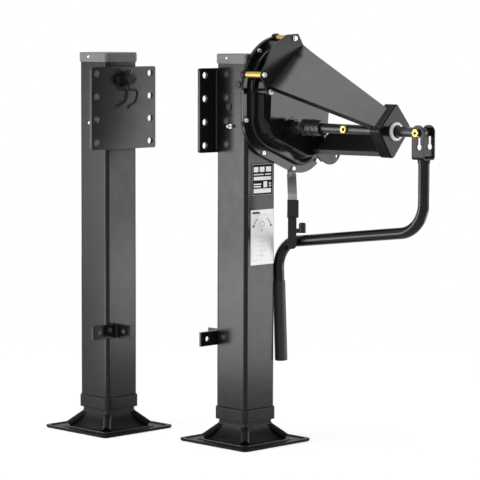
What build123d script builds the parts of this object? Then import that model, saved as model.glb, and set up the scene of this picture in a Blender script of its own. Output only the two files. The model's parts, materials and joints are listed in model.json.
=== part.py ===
"""Landing gear of a semi trailer: two telescopic jack legs, one with a gearbox and a crank.

Units are millimetres and +Z is up. The origin is on the floor under the middle of the geared
leg's foot. +X runs along the shafts, outboard towards the crank. +Y is the trailer's length.
"""
import os
from math import acos, atan, atan2, cos, hypot, pi, radians, sin, tan

from build123d import *

# Legs
GEARED_LEG = (0.0, 0.0)
SLAVE_LEG = (-394.0, -123.0)
LEG_TOP = 1005.0
TUBE_SIDE = 108.0
TUBE_HALF = TUBE_SIDE / 2
TUBE_WALL = 4.5
TUBE_CORNER = 9.0
TUBE_FOOT_Z = 59.0
GUIDE_GAP = 0.5
LOWER_WALL = 5.0
LOWER_TOP_Z = 760.0
SEAT_GAP = 0.1
RUN_GAP = 0.05
CAP_HEIGHT = 25.0
CAP_SKIRT = 3.2
CAP_TOP = 4.0
CAP_EDGE = 2.5
COLLAR_HEIGHT = 32.0
COLLAR_WALL = 3.7

# Foot
FOOT_SIDE = 246.0
FOOT_SHEET = 5.0
FOOT_DISH = 5.0
FOOT_CORNER = 14.0
HOOD_TOP_Z = 47.0
HOOD_BASE_SIDE = 160.0
HOOD_WAIST_SIDE = 116.0
HOOD_WAIST_Z = 24.0
HOOD_FLANGE = 8.0
HOOD_RIB_R = 11.0
HOOD_WALL = 7.0

# Mounting plate on the inboard face of each leg
PLATE_WIDTH = 226.0
PLATE_LOW_Z = 751.5
PLATE_HIGH_Z = 967.8
PLATE_SHEET = 8.0
PLATE_CORNER = 6.0
BOLT_SPAN = 188.0
BOLT_PITCH = 60.0
BOLT_ROWS = 4
BOLT_LOW_Z = 770.0
BOLT_HOLE_R = 9.0

# Strut bracket low on the inboard face
STRUT_Z = 270.0
STRUT_HEIGHT = 37.0
STRUT_SHEET = 6.0
STRUT_OUT = 54.0
STRUT_EAR = 52.0
STRUT_EAR_Y = -20.0
STRUT_HOLE_R = 7.0
STRUT_HOLE_Y = -84.0

# Screw, nut and bevel gears inside each leg
SHAFT_Z = 935.0
SCREW_R = 18.0
SCREW_LOW_Z = 262.0
SCREW_NECK_R = 14.0
SCREW_TOP_Z = 918.0
NUT_HEIGHT = 34.0
NUT_BOSS_R = 32.0
BULKHEAD_Z = 866.0
BULKHEAD_SHEET = 9.0
BEARING_R = 33.0
BEARING_HEIGHT = 16.0
BEVEL_MODULE = 2.5
BEVEL_GEAR_TEETH = 30
BEVEL_PINION_TEETH = 16
BEVEL_FACE_SHARE = 0.25
BEVEL_HUB = 13.0
PRESSURE_ANGLE = radians(25.0)

# Output shafts
STUB_R = 13.0
JOURNAL_R = 13.5
STUB_GROOVE = 2.0
SHAFT_NECK_R = 11.0
STUB_REACH = TUBE_HALF + 38.0
STUB_HOLE_R = 5.0
STUB_HOLE_X = TUBE_HALF + 28.0
BUSH_R = 17.0
BUSH_FLANGE_R = 22.0
BUSH_FLANGE = 2.5
BEARING_OVAL = 6.0
BEARING_LIP = 10.0

# Gearbox on the outboard face of the geared leg: circles (y, z, r) whose hull is its outline
HULL = ((65.0, 913.0, 139.0), (36.4, 848.0, 110.4), (137.0, 796.0, 100.0), (140.0, 905.0, 108.0))
FRONT_HULL = ((74.3, 923.0, 129.0), (27.4, 826.0, 86.4), (137.0, 796.0, 100.0), (140.0, 905.0, 108.0))
BACK_SHEET = 4.0
FLANGE_SHEET = 5.0
FLANGE_WIDTH = 18.0
GASKET_SHEET = 1.0
TIER_ONE_X = TUBE_HALF + 22.0
TIER_ONE_DRAFT = 4.0
TIER_TWO_INSET = 37.0
TIER_TWO_DRAFT = 6.0
TIER_TWO_X = TUBE_HALF + 40.0
FRONT_INSET = 46.0
DOME_X = TUBE_HALF + 46.0
DOME_WALL = 3.0
TIER_ONE_ROUND = 5.0
DOME_ROUND = 2.5

# Gear train
INPUT_Y = TUBE_HALF + 18.0
INPUT_Z = 819.0
MODULE = 3.0
INPUT_TEETH = 12
BIG_TEETH = 51
SMALL_TEETH = 14
OUTPUT_TEETH = 28
ADDENDUM = 0.9
DEDENDUM = 1.2
TOOTH_THINNING = 0.5
OUTPUT_LAYER = (TUBE_HALF + 6.5, TUBE_HALF + 18.5)
BIG_LAYER = (TUBE_HALF + 21.0, TUBE_HALF + 28.0)
INPUT_LAYER = (TUBE_HALF + 30.0, TUBE_HALF + 37.0)
SHIFT = 8.5
IDLER_PIN_R = 10.0
INPUT_SHAFT_R = 10.0
SLEEVE_R = 15.0
SLEEVE_NUT = 36.0
SLEEVE_NUT_X = (TUBE_HALF + 48.5, TUBE_HALF + 59.0)
BOSS_R = 25.0

# Crank support bracket: a folded sheet with two webs and a tip plate
BRACKET_X = TUBE_HALF + 66.0
BRACKET_SHEET = 5.0
TIP_X = TUBE_HALF + 389.0
TIP_SHEET = 5.0
TIP_FLANGE = 29.0
TIP_OPEN_ABOVE = (90.0, 40.0)
TIP_OPEN_BELOW = (120.0, -40.0)
LIP = 12.0
UPPER_BASE = ((23.8, 1054.5), (62.0, 1056.5), (81.5, 1026.5), (-35.0, 922.5), (-29.0, 909.0),
              (-36.0, 901.0), (-46.0, 903.5), (-50.0, 912.0), (-71.0, 950.0), (-68.0, 962.0),
              (-57.0, 978.0), (-34.4, 1024.0))
UPPER_FOLD = ((-35.0, 922.5), (81.5, 1026.5))
LOWER_FOLD = ((130.0, 751.0), (190.0, 807.0))
TIP_LEFT = (25.0, 823.0)
TIP_TOP = (74.5, 877.0)
WING_TOP = (63.7, 865.2)
TIP_RIGHT = (117.0, 826.0)
TIP_BOTTOM = (63.0, 760.0)
TIP_ROUND = 12.0
EAR_CENTRE = (186.0, 757.0)
EAR_R = 39.0
EAR_HOLE = (210.4, 739.0)
EAR_HOLE_R = 5.5
EAR_BOLT = (225.3, 774.0)
TIP_BUSH_R = 23.0

# Crank shaft, clevis and crank
COUPLING_X = (TUBE_HALF + 85.0, TUBE_HALF + 149.0)
COUPLING_R = 20.0
COUPLING_COLLAR = 8.0
CROSS_BOLT_R = 5.0
CROSS_BOLT_IN = 10.0
CROSS_BOLT_X = TUBE_HALF + 234.0
CRANK_SHAFT_R = 12.5
PIVOT_X = TUBE_HALF + 481.0
PIVOT_R = 6.0
CLEVIS_WIDTH = 38.0
CLEVIS_SHEET = 4.0
CLEVIS_INSIDE = 35.0
CLEVIS_TOP_Z = 838.0
CLEVIS_LOW_Z = 753.0
SLOT_ASIDE = 7.0
SLOT_WIDTH = 9.0
SLOT_LOW_Z = 785.0
SLOT_END_R = 8.0
CRANK_TUBE_R = 14.5
CRANK_WALL = 3.0
CRANK_POINTS = ((PIVOT_X + 6.0, CLEVIS_LOW_Z), (PIVOT_X + 6.0, 578.0),
                (TUBE_HALF - 8.0, 517.0), (TUBE_HALF + 6.0, 213.0))
CRANK_BENDS = (80.0, 72.0)
GRIP_LENGTH = 205.0
GRIP_R = 16.5

# Crank holder
HOLDER_Z = (722.0, 636.0)
HOLDER_BEND_Z = 693.0
HOLDER_Y = INPUT_Y + 44.0
HOLDER_OUT = 105.0
HOLDER_WIDTH = 24.0
HOLDER_SHEET = 4.0
CLIP_TOP_Z = 634.0
CLIP_LOW_Z = 508.0
CLIP_ARM_Z = CLIP_LOW_Z + 41.0

# Fasteners and fittings
NIPPLE_Z = 820.0
PLUG_X = 8.0
PLUG_Z = 870.0
UPPER_PLUG = (25.0, 927.0)
SCREW_HEAD_R = 5.2
SCREW_HEAD = 5.0
FLANGE_SCREWS = ((-65.7, 838.2), (-2.3, 753.2), (107.3, 708.9), (196.1, 725.5), (238.5, 887.6),
                 (176.3, 998.2), (109.8, 1036.1), (-19.2, 1013.4))
STANDOFFS = ((-62.5, 953.5), (47.5, 1045.0))
STANDOFF_R = 8.0
STANDOFF_LUG = 12.0
BASE_BOLT = (-39.0, 911.0)
BOLT_R = 3.0
BOLT_ACROSS = 10.0
BOLT_HOLE_GAP = 0.2
BASE_BOLT_DEEP = 16.0
NUT_HIGH = 5.0
SPACER_R = 8.0
WASHER_R = 6.5

# Values that follow from the driving dimensions
TUBE_INSIDE = TUBE_SIDE - 2 * TUBE_WALL
LOWER_SIDE = TUBE_INSIDE - 2 * GUIDE_GAP
LOWER_INSIDE = LOWER_SIDE - 2 * LOWER_WALL
PLATE_FACE = TUBE_HALF + PLATE_SHEET
BEVEL_GEAR_R = BEVEL_MODULE * BEVEL_GEAR_TEETH / 2
BEVEL_PINION_R = BEVEL_MODULE * BEVEL_PINION_TEETH / 2
BACK_X = (TUBE_HALF, TUBE_HALF + BACK_SHEET)
FLANGE_X = BACK_X[1] + GASKET_SHEET
FLANGE_FACE = FLANGE_X + FLANGE_SHEET


# Basic shapes
def block(x, y, z):
    """A box from three pairs of limits."""
    centre = ((x[0] + x[1]) / 2, (y[0] + y[1]) / 2, (z[0] + z[1]) / 2)
    return Pos(*centre) * Box(x[1] - x[0], y[1] - y[0], z[1] - z[0])


def rod(start, end, radius):
    """A round bar between two points."""
    along = Vector(*end) - Vector(*start)
    lies = Plane(origin=start, z_dir=along)
    return lies * Cylinder(radius, along.length, align=(Align.CENTER, Align.CENTER, Align.MIN))


def rod_x(y, z, x, radius):
    return rod((x[0], y, z), (x[1], y, z), radius)


def rod_z(x, y, z, radius):
    return rod((x, y, z[0]), (x, y, z[1]), radius)


def square_bar(side, corner, z):
    """An upright bar of rounded square section."""
    return Pos(0, 0, z[0]) * extrude(RectangleRounded(side, side, corner), z[1] - z[0])


def square_tube(side, wall, corner, z):
    inner = max(corner - wall, 1.0)
    return square_bar(side, corner, z) - square_bar(side - 2 * wall, inner, z)


def hexagon(y, z, x, across):
    """A hexagonal prism along X."""
    profile = Plane.YZ * RegularPolygon(across / 2, 6, major_radius=False)
    return Pos(x[0], y, z) * extrude(profile, x[1] - x[0])


def sheet(points, normal, thickness):
    """A flat sheet whose outline is a list of 3-D points in one plane."""
    outline = Wire(Polyline(*points, close=True).edges())
    return extrude(make_face(outline), thickness, dir=normal)


def hull_face(circles, inset, x):
    """The convex hull of circles in the YZ plane, drawn in by an inset."""
    spots = [Vector(y, z) for y, z, _ in circles]
    radii = [r - inset for _, _, r in circles]
    count = len(spots)
    ends = []
    for i in range(count):
        j = (i + 1) % count
        step = spots[j] - spots[i]
        length = step.length
        lean = (radii[i] - radii[j]) / length
        along = step / length
        across = Vector(along.Y, -along.X)
        normal = along * lean + across * (1 - lean * lean) ** 0.5
        ends.append((spots[i] + normal * radii[i], spots[j] + normal * radii[j], normal))
    edges = []
    for i in range(count):
        before = ends[i - 1]
        after = ends[i]
        middle = (before[2] + after[2]).normalized()
        edges.append(ThreePointArc(before[1], spots[i] + middle * radii[i], after[0]))
        edges.append(Line(after[0], after[1]))
    face = make_face(Wire([e.edge() for e in edges]))
    return Plane(origin=(x, 0, 0), x_dir=(0, 1, 0), z_dir=(1, 0, 0)) * face


def hull_prism(inset, x):
    return extrude(hull_face(HULL, inset, x[0]), x[1] - x[0], dir=(1, 0, 0))


def hull_frustum(inset, draft, x):
    return loft([hull_face(HULL, inset, x[0]), hull_face(HULL, inset + draft, x[1])], ruled=True)


# Gear teeth
def involute(angle):
    return tan(angle) - angle


def tooth_half_angle(radius, pitch_r, teeth, thinning):
    """Half of a tooth's angle at a radius, on involute flanks with a thinned pitch width."""
    base = pitch_r * cos(PRESSURE_ANGLE)
    here = acos(base / max(radius, base))
    return pi / (2 * teeth) - thinning / (2 * pitch_r) + involute(PRESSURE_ANGLE) - involute(here)


def toothed_polygon(teeth, levels, phase):
    """Corners of a toothed outline; levels is a list of (radius, half angle), root first."""
    corners = []
    for i in range(teeth):
        middle = phase + 2 * pi * i / teeth
        for radius, half in levels:
            corners.append((radius * cos(middle - half), radius * sin(middle - half)))
        for radius, half in reversed(levels):
            corners.append((radius * cos(middle + half), radius * sin(middle + half)))
    return corners


def spur_gear(teeth, module, centre, layer, phase):
    """A spur gear about an axis along X; phase is the angle of one tooth in the YZ plane."""
    pitch_r = module * teeth / 2
    radii = (pitch_r - DEDENDUM * module, pitch_r, pitch_r + ADDENDUM * module)
    levels = [(r, tooth_half_angle(r, pitch_r, teeth, TOOTH_THINNING)) for r in radii]
    corners = toothed_polygon(teeth, levels, phase)
    profile = Plane.YZ * make_face(Wire(Polyline(*corners, close=True).edges()))
    return Pos(layer[0], *centre) * extrude(profile, layer[1] - layer[0])


def bevel_levels(teeth, pitch_r, distance):
    """Root and tip levels of a bevel gear, in the plane at a distance from its apex."""
    cone = atan(pitch_r / distance)
    length = hypot(pitch_r, distance)
    virtual_r = pitch_r / cos(cone)
    virtual_teeth = teeth / cos(cone)
    levels = []
    for height in (-DEDENDUM * BEVEL_MODULE, ADDENDUM * BEVEL_MODULE):
        lean = atan(height / length)
        width = tooth_half_angle(virtual_r + height, virtual_r, virtual_teeth, TOOTH_THINNING)
        radius_here = length * sin(cone + lean) / cos(lean)
        half = width * (virtual_r + height) / radius_here
        levels.append((distance * tan(cone + lean), half))
    return levels


def bevel_teeth(teeth, pitch_r, distance, phase):
    """A toothed frustum along Z that narrows towards its apex, large end at height 0."""
    share = 1 - BEVEL_FACE_SHARE
    corners = toothed_polygon(teeth, bevel_levels(teeth, pitch_r, distance), phase)
    large = make_face(Wire(Polyline(*corners, close=True).edges()))
    narrowed = [(a * share, b * share) for a, b in corners]
    small = make_face(Wire(Polyline(*narrowed, close=True).edges()))
    return loft([large, Pos(0, 0, distance * BEVEL_FACE_SHARE) * small], ruled=True)


# Leg shells
def upper_tube():
    """The square outer tube, with holes for the shaft's bushes in the faces that it crosses."""
    tube = square_tube(TUBE_SIDE, TUBE_WALL, TUBE_CORNER, (TUBE_FOOT_Z, LEG_TOP - CAP_TOP))
    tube -= rod_x(0, SHAFT_Z, (-TUBE_SIDE, TUBE_SIDE), BUSH_R + SEAT_GAP)
    return tube


def top_cap(flush_face):
    """A pressed cap; the gearbox's back plate needs one of its faces flush with the tube."""
    side = TUBE_SIDE + 2 * (CAP_SKIRT + SEAT_GAP)
    outer = square_bar(side, TUBE_CORNER + CAP_SKIRT, (LEG_TOP - CAP_HEIGHT, LEG_TOP))
    top = outer.faces().sort_by(Axis.Z)[-1]
    outer = chamfer(top.edges(), CAP_EDGE)
    hollow = square_bar(TUBE_SIDE + 2 * SEAT_GAP, TUBE_CORNER, (0, LEG_TOP - CAP_TOP))
    cap = outer - hollow
    if flush_face:
        cap -= block((TUBE_HALF, side), (-side, side), (0, LEG_TOP + 1))
    return cap


def bottom_collar():
    side = TUBE_SIDE + 2 * (COLLAR_WALL + SEAT_GAP)
    high = TUBE_FOOT_Z + COLLAR_HEIGHT
    outer = square_bar(side, TUBE_CORNER + COLLAR_WALL, (TUBE_FOOT_Z, high))
    ends = outer.faces().filter_by(Axis.Z).edges()
    outer = chamfer(ends, 1.2)
    return outer - square_bar(TUBE_SIDE + 2 * SEAT_GAP, TUBE_CORNER, (0, LEG_TOP))


def mounting_plate(side):
    """The plate on the face that looks along side * X, bored for its bolts and the shaft."""
    near = side * TUBE_HALF
    far = side * PLATE_FACE
    profile = Plane.YZ * RectangleRounded(PLATE_WIDTH, PLATE_HIGH_Z - PLATE_LOW_Z, PLATE_CORNER)
    middle = (PLATE_LOW_Z + PLATE_HIGH_Z) / 2
    plate = Pos(near, 0, middle) * extrude(profile, far - near)
    for row in range(BOLT_ROWS):
        z = BOLT_LOW_Z + row * BOLT_PITCH
        for y in (-BOLT_SPAN / 2, BOLT_SPAN / 2):
            plate -= rod_x(y, z, sorted((near - side, far + side)), BOLT_HOLE_R)
    return plate - rod_x(0, SHAFT_Z, sorted((near - side, far + side)), BUSH_R + SEAT_GAP)


def strut_bracket(side):
    """An angle: one flange across the inboard face and past it, one ear standing off it."""
    low = STRUT_Z - STRUT_HEIGHT / 2
    high = STRUT_Z + STRUT_HEIGHT / 2
    near = side * TUBE_HALF
    face = side * (TUBE_HALF + STRUT_SHEET)
    tip = side * (TUBE_HALF + STRUT_SHEET + STRUT_EAR)
    flat = block(sorted((near, face)), (-TUBE_HALF - STRUT_OUT, STRUT_EAR_Y), (low, high))
    ear_y = (STRUT_EAR_Y - STRUT_SHEET, STRUT_EAR_Y)
    ear = block(sorted((near, tip)), ear_y, (low, high))
    shape = flat + ear
    inner = shape.edges().filter_by(Axis.Z).filter_by_position(Axis.Y, ear_y[0] - 0.1, ear_y[0] + 0.1)
    inner = inner.sort_by(Axis.X)
    corner = inner[-1] if side < 0 else inner[0]
    shape = fillet(corner, STRUT_SHEET * 0.8)
    outer = shape.edges().filter_by(Axis.Z).filter_by_position(Axis.Y, ear_y[1] - 0.1, ear_y[1] + 0.1)
    outer = outer.sort_by(Axis.X)
    shape = fillet(outer[-1] if side < 0 else outer[0], STRUT_SHEET * 0.9)
    hole_x = side * (TUBE_HALF + STRUT_SHEET + STRUT_EAR / 2)
    shape -= rod_x(STRUT_HOLE_Y, STRUT_Z, sorted((near - side, face + side)), STRUT_HOLE_R)
    shape -= rod((hole_x, ear_y[0] - 1, STRUT_Z), (hole_x, ear_y[1] + 1, STRUT_Z), STRUT_HOLE_R)
    return shape


# Telescoping part of a leg
def lower_tube():
    corner = max(TUBE_CORNER - TUBE_WALL - GUIDE_GAP, 2.0)
    return square_tube(LOWER_SIDE, LOWER_WALL, corner, (HOOD_TOP_Z, LOWER_TOP_Z))


def foot_plate():
    """The pressed shoe: a thin square plate whose rim turns up a little."""
    plate = extrude(RectangleRounded(FOOT_SIDE, FOOT_SIDE, FOOT_CORNER), FOOT_SHEET)
    rim_inner = FOOT_SIDE - 4 * FOOT_SHEET
    rim = Pos(0, 0, FOOT_SHEET) * extrude(
        RectangleRounded(FOOT_SIDE, FOOT_SIDE, FOOT_CORNER), FOOT_DISH - FOOT_SHEET / 2)
    rim -= Pos(0, 0, FOOT_SHEET) * extrude(
        RectangleRounded(rim_inner, rim_inner, FOOT_CORNER), FOOT_DISH, taper=-45)
    plate += rim
    bottom = plate.faces().sort_by(Axis.Z)[0]
    return chamfer(bottom.edges(), FOOT_SHEET * 0.6)


def hood_body(inset, heights):
    """The waisted square body of the hood, drawn in by an inset at three heights."""
    sides = (HOOD_BASE_SIDE, HOOD_WAIST_SIDE, LOWER_SIDE)
    sections = []
    for side, z in zip(sides, heights):
        width = side - 2 * inset
        sections.append(Pos(0, 0, z) * RectangleRounded(width, width, HOOD_RIB_R - inset / 2))
    return loft(sections)


def foot_hood():
    """The hood that carries the tube: four hollowed slopes with a rounded rib at each corner."""
    base = FOOT_SHEET
    top_side = LOWER_SIDE
    hood = hood_body(0, (base, HOOD_WAIST_Z, HOOD_TOP_Z))
    side = HOOD_BASE_SIDE + 2 * HOOD_FLANGE
    hood += Pos(0, 0, base) * extrude(RectangleRounded(side, side, HOOD_RIB_R), FOOT_SHEET / 2)
    low = HOOD_BASE_SIDE / 2 - HOOD_RIB_R / 2
    high = top_side / 2 - HOOD_RIB_R
    for sx in (-1, 1):
        for sy in (-1, 1):
            start = (sx * low, sy * low, base + HOOD_RIB_R * 0.4)
            end = (sx * high, sy * high, HOOD_TOP_Z - 2)
            hood += rod(start, end, HOOD_RIB_R)
    hood = hood & block((-FOOT_SIDE, FOOT_SIDE), (-FOOT_SIDE, FOOT_SIDE), (base, HOOD_TOP_Z))
    return hood - hood_body(HOOD_WALL, (base, HOOD_WAIST_Z, HOOD_TOP_Z - HOOD_WALL))


def lift_nut():
    """A square nut seated in the top of the lower tube, with a round boss below."""
    z = (LOWER_TOP_Z - NUT_HEIGHT, LOWER_TOP_Z)
    side = LOWER_INSIDE - 2 * SEAT_GAP
    body = square_bar(side, 4, (z[0] + NUT_HEIGHT / 2, z[1]))
    body += rod_z(0, 0, (z[0], z[1] - NUT_HEIGHT / 4), NUT_BOSS_R)
    return body - rod_z(0, 0, (z[0] - 1, z[1] + 1), SCREW_R + RUN_GAP)


# Screw drive inside a leg
def lift_screw():
    shoulder = BULKHEAD_Z - BEARING_HEIGHT
    screw = rod_z(0, 0, (SCREW_LOW_Z, shoulder), SCREW_R)
    screw += rod_z(0, 0, (shoulder - 1, SCREW_TOP_Z), SCREW_NECK_R)
    return screw


def thrust_bearing():
    """Two races and their cage as one turned ring between the screw's shoulder and the bulkhead."""
    z = (BULKHEAD_Z - BEARING_HEIGHT + RUN_GAP, BULKHEAD_Z)
    ring = rod_z(0, 0, z, BEARING_R)
    middle = (z[0] + z[1]) / 2
    groove = BEARING_HEIGHT / 6
    slit = rod_z(0, 0, (middle - groove, middle + groove), BEARING_R + 1)
    ring -= slit - rod_z(0, 0, (middle - groove, middle + groove), BEARING_R - 3)
    return ring - rod_z(0, 0, (z[0] - 1, z[1] + 1), SCREW_NECK_R + RUN_GAP)


def bulkhead():
    side = TUBE_INSIDE - 2 * SEAT_GAP
    plate = square_bar(side, TUBE_CORNER - TUBE_WALL, (BULKHEAD_Z, BULKHEAD_Z + BULKHEAD_SHEET))
    return plate - rod_z(0, 0, (BULKHEAD_Z - 1, BULKHEAD_Z + BULKHEAD_SHEET + 1), SCREW_NECK_R + RUN_GAP)


def bevel_gear():
    """The gear on the screw, teeth up."""
    plane_z = SHAFT_Z - BEVEL_PINION_R
    teeth = bevel_teeth(BEVEL_GEAR_TEETH, BEVEL_GEAR_R, BEVEL_PINION_R, 0.0)
    gear = Pos(0, 0, plane_z) * teeth
    root_r = bevel_levels(BEVEL_GEAR_TEETH, BEVEL_GEAR_R, BEVEL_PINION_R)[0][0]
    gear += rod_z(0, 0, (plane_z - BEVEL_HUB / 2, plane_z), root_r)
    seat = BULKHEAD_Z + BULKHEAD_SHEET + 0.3
    gear += rod_z(0, 0, (seat, plane_z), SCREW_NECK_R + 9)
    return gear - rod_z(0, 0, (seat - 1, SHAFT_Z), SCREW_NECK_R + SEAT_GAP)


def bevel_pinion():
    """The pinion on the output shaft, on its outboard half."""
    phase = -pi / 2 + pi / BEVEL_PINION_TEETH
    teeth = bevel_teeth(BEVEL_PINION_TEETH, BEVEL_PINION_R, BEVEL_GEAR_R, phase)
    turned = Plane(origin=(BEVEL_GEAR_R, 0, SHAFT_Z), x_dir=(0, 1, 0), z_dir=(1, 0, 0))
    pinion = turned * mirror(teeth, Plane.XY)
    hub_r = bevel_levels(BEVEL_PINION_TEETH, BEVEL_PINION_R, BEVEL_GEAR_R)[0][0]
    hub = (BEVEL_GEAR_R, TUBE_INSIDE / 2 - BUSH_FLANGE - 0.3)
    pinion += rod_x(0, SHAFT_Z, hub, hub_r)
    return pinion - rod_x(0, SHAFT_Z, (0, TUBE_SIDE), SHAFT_NECK_R + SEAT_GAP)


def shaft_bush(side, reach, bore):
    """A flanged bush through the tube wall, its flange inside the tube."""
    inner = side * (TUBE_INSIDE / 2)
    lip = side * (TUBE_INSIDE / 2 - BUSH_FLANGE)
    bush = rod_x(0, SHAFT_Z, sorted((lip, side * reach)), BUSH_R)
    bush += rod_x(0, SHAFT_Z, sorted((lip, inner)), BUSH_FLANGE_R)
    return bush - rod_x(0, SHAFT_Z, sorted((0, side * (reach + 1))), bore + RUN_GAP)


def stub(side, start):
    """A cross-drilled shaft end: its journal runs in the flange, then a groove and the seat."""
    journal_end = PLATE_FACE + BEARING_LIP
    seat = journal_end + STUB_GROOVE
    shaft = rod_x(0, SHAFT_Z, sorted((side * start, side * journal_end)), JOURNAL_R)
    shaft += rod_x(0, SHAFT_Z, sorted((side * start, side * seat)), STUB_R - 1)
    shaft += rod_x(0, SHAFT_Z, sorted((side * seat, side * STUB_REACH)), STUB_R)
    x = side * STUB_HOLE_X
    return shaft - rod((x, 0, SHAFT_Z - 2 * STUB_R), (x, 0, SHAFT_Z + 2 * STUB_R), STUB_HOLE_R)


def geared_output_shaft():
    """The through shaft: cross-drilled stub inboard, output gear seat outboard."""
    shaft = stub(-1, TUBE_INSIDE / 2 - 8)
    return shaft + rod_x(0, SHAFT_Z, (-TUBE_INSIDE / 2 + 7, OUTPUT_LAYER[1] + 1.5), SHAFT_NECK_R)


def slave_output_shaft():
    """The driven stub shaft, entering from the inboard side."""
    shaft = stub(1, TUBE_INSIDE / 2 - BUSH_FLANGE)
    return shaft + rod_x(0, SHAFT_Z, (-TUBE_HALF - 2, TUBE_INSIDE / 2), SHAFT_NECK_R)


def bearing_flange(side):
    """The two-lug oval flange that keeps the inboard bush on the mounting plate."""
    near = side * PLATE_FACE
    far = side * (PLATE_FACE + BEARING_OVAL)
    profile = SlotOverall(76, 34) + Circle(22)
    body = Plane.YZ * profile
    flange = Pos(near, 0, SHAFT_Z) * extrude(body, far - near)
    flange += rod_x(0, SHAFT_Z, sorted((near, side * (PLATE_FACE + BEARING_LIP))), 19)
    flange -= rod_x(0, SHAFT_Z, sorted((near - side, side * (PLATE_FACE + 11))), JOURNAL_R + 0.3)
    return flange


def flange_bolts(side):
    """Two hex bolts in the oval flange's lugs."""
    near = side * (PLATE_FACE + BEARING_OVAL)
    far = side * (PLATE_FACE + 2 * BEARING_OVAL)
    return [hexagon(y, SHAFT_Z, sorted((near, far)), 15) for y in (-28, 28)]


def grease_nipple(z):
    """A nipple on the -Y face: hex foot, neck and ball head."""
    face = -TUBE_HALF
    foot = rod((0, face, z), (0, face - 4, z), 6)
    neck = rod((0, face - 3, z), (0, face - 11, z), 3.2)
    head = Pos(0, face - 12, z) * Sphere(4.2)
    return foot + neck + head


def side_plug(x, z):
    """A domed plug on the -Y face."""
    return rod((x, -TUBE_HALF, z), (x, -TUBE_HALF - 2.5, z), 9.5)


# Gearbox
def long_bolt_spots():
    """The three bolts that carry the crank bracket."""
    return list(STANDOFFS) + [EAR_BOLT]


def with_bolt_lugs(shape, x, radius):
    """Adds the lugs of the long bolts to a layer of the gearbox, and drills them."""
    for spot in long_bolt_spots():
        shape += rod_x(*spot, x, radius)
        shape -= rod_x(*spot, (x[0] - 1, x[1] + 1), BOLT_R + BOLT_HOLE_GAP)
    return shape


def back_plate():
    plate = with_bolt_lugs(hull_prism(0, BACK_X), BACK_X, STANDOFF_LUG)
    boss = (BACK_X[1] - 1, OUTPUT_LAYER[1] - 0.5)
    plate += rod_x(INPUT_Y, INPUT_Z, boss, INPUT_SHAFT_R + 5)
    plate -= rod_x(INPUT_Y, INPUT_Z, (BACK_X[0] + 3, boss[1] + 1), INPUT_SHAFT_R + RUN_GAP)
    y, z = idler_spot()
    plate -= rod_x(y, z, (BACK_X[0] - 1, BACK_X[1] + 1), IDLER_PIN_R + SEAT_GAP)
    return plate - rod_x(0, SHAFT_Z, (BACK_X[0] - 1, BACK_X[1] + 1), BUSH_R + SEAT_GAP)


def gasket():
    ring = hull_prism(1, (BACK_X[1], FLANGE_X))
    ring -= hull_prism(FLANGE_WIDTH - 1, (BACK_X[1] - 1, FLANGE_X + 1))
    return with_bolt_lugs(ring, (BACK_X[1], FLANGE_X), STANDOFF_LUG - 1)


def dome(wall, low_x):
    """The raised middle of the cover: drafted sides, then a slope up to the front face."""
    ridge = TIER_TWO_X - wall * 0.8
    sides = hull_frustum(TIER_TWO_INSET + wall, TIER_TWO_DRAFT, (low_x, ridge))
    foot = hull_face(HULL, TIER_TWO_INSET + TIER_TWO_DRAFT + wall, ridge)
    front = hull_face(FRONT_HULL, FRONT_INSET + wall * 1.2, DOME_X - wall)
    return sides, loft([foot, front], ruled=True)


def cover_outside():
    flange = with_bolt_lugs(hull_prism(0, (FLANGE_X, FLANGE_FACE)), (FLANGE_X, FLANGE_FACE), STANDOFF_LUG)
    tier_one = hull_frustum(FLANGE_WIDTH, TIER_ONE_DRAFT, (FLANGE_X, TIER_ONE_X))
    rim = tier_one.faces().sort_by(Axis.X)[-1]
    tier_one = fillet(rim.edges(), TIER_ONE_ROUND)
    sides, slope = dome(0, TIER_ONE_X - 4)
    front = slope.faces().sort_by(Axis.X)[-1]
    slope = fillet(front.edges(), DOME_ROUND)
    return flange + tier_one + sides + slope


def gearbox_cover():
    """The pressed cover: a flange, two drafted tiers and a sloped front, open at the back."""
    cover = cover_outside()
    cover += rod_x(INPUT_Y, INPUT_Z, (DOME_X - 6, SLEEVE_NUT_X[0] - 0.5), BOSS_R)
    cover += rod_x(*BASE_BOLT, (TIER_ONE_X - 2, BRACKET_X), SPACER_R)
    low = hull_frustum(FLANGE_WIDTH + DOME_WALL, TIER_ONE_DRAFT,
                       (FLANGE_X - 1, TIER_ONE_X - DOME_WALL))
    sides, slope = dome(DOME_WALL, FLANGE_X - 1)
    y, z = idler_spot()
    cover = cover - low - sides - slope
    cover += rod_x(y, z, (BIG_LAYER[1] + 4, DOME_X - DOME_WALL + 1), IDLER_PIN_R + 5)
    cover -= rod_x(y, z, (BIG_LAYER[1] + 3, DOME_X - DOME_WALL), IDLER_PIN_R + SEAT_GAP)
    cover -= rod_x(*BASE_BOLT, (BRACKET_X - BASE_BOLT_DEEP - 1, BRACKET_X + 1), BOLT_R + BOLT_HOLE_GAP)
    return cover - rod_x(INPUT_Y, INPUT_Z, (BIG_LAYER[0], SLEEVE_NUT_X[1]), SLEEVE_R + RUN_GAP)


def idler_spot():
    """Where the idler's axis stands: at both centre distances, on the outboard side."""
    to_output = MODULE * (OUTPUT_TEETH + SMALL_TEETH) / 2
    to_input = MODULE * (BIG_TEETH + INPUT_TEETH) / 2
    step = Vector(INPUT_Y, INPUT_Z - SHAFT_Z)
    span = step.length
    along = (to_output ** 2 - to_input ** 2 + span ** 2) / (2 * span)
    off = (to_output ** 2 - along ** 2) ** 0.5
    unit = step / span
    spot = unit * along + Vector(-unit.Y, unit.X) * off
    return spot.X, spot.Y + SHAFT_Z


def facing(start, end):
    """The angle in the YZ plane from one axis to another."""
    return atan2(end[1] - start[1], end[0] - start[0])


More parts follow.
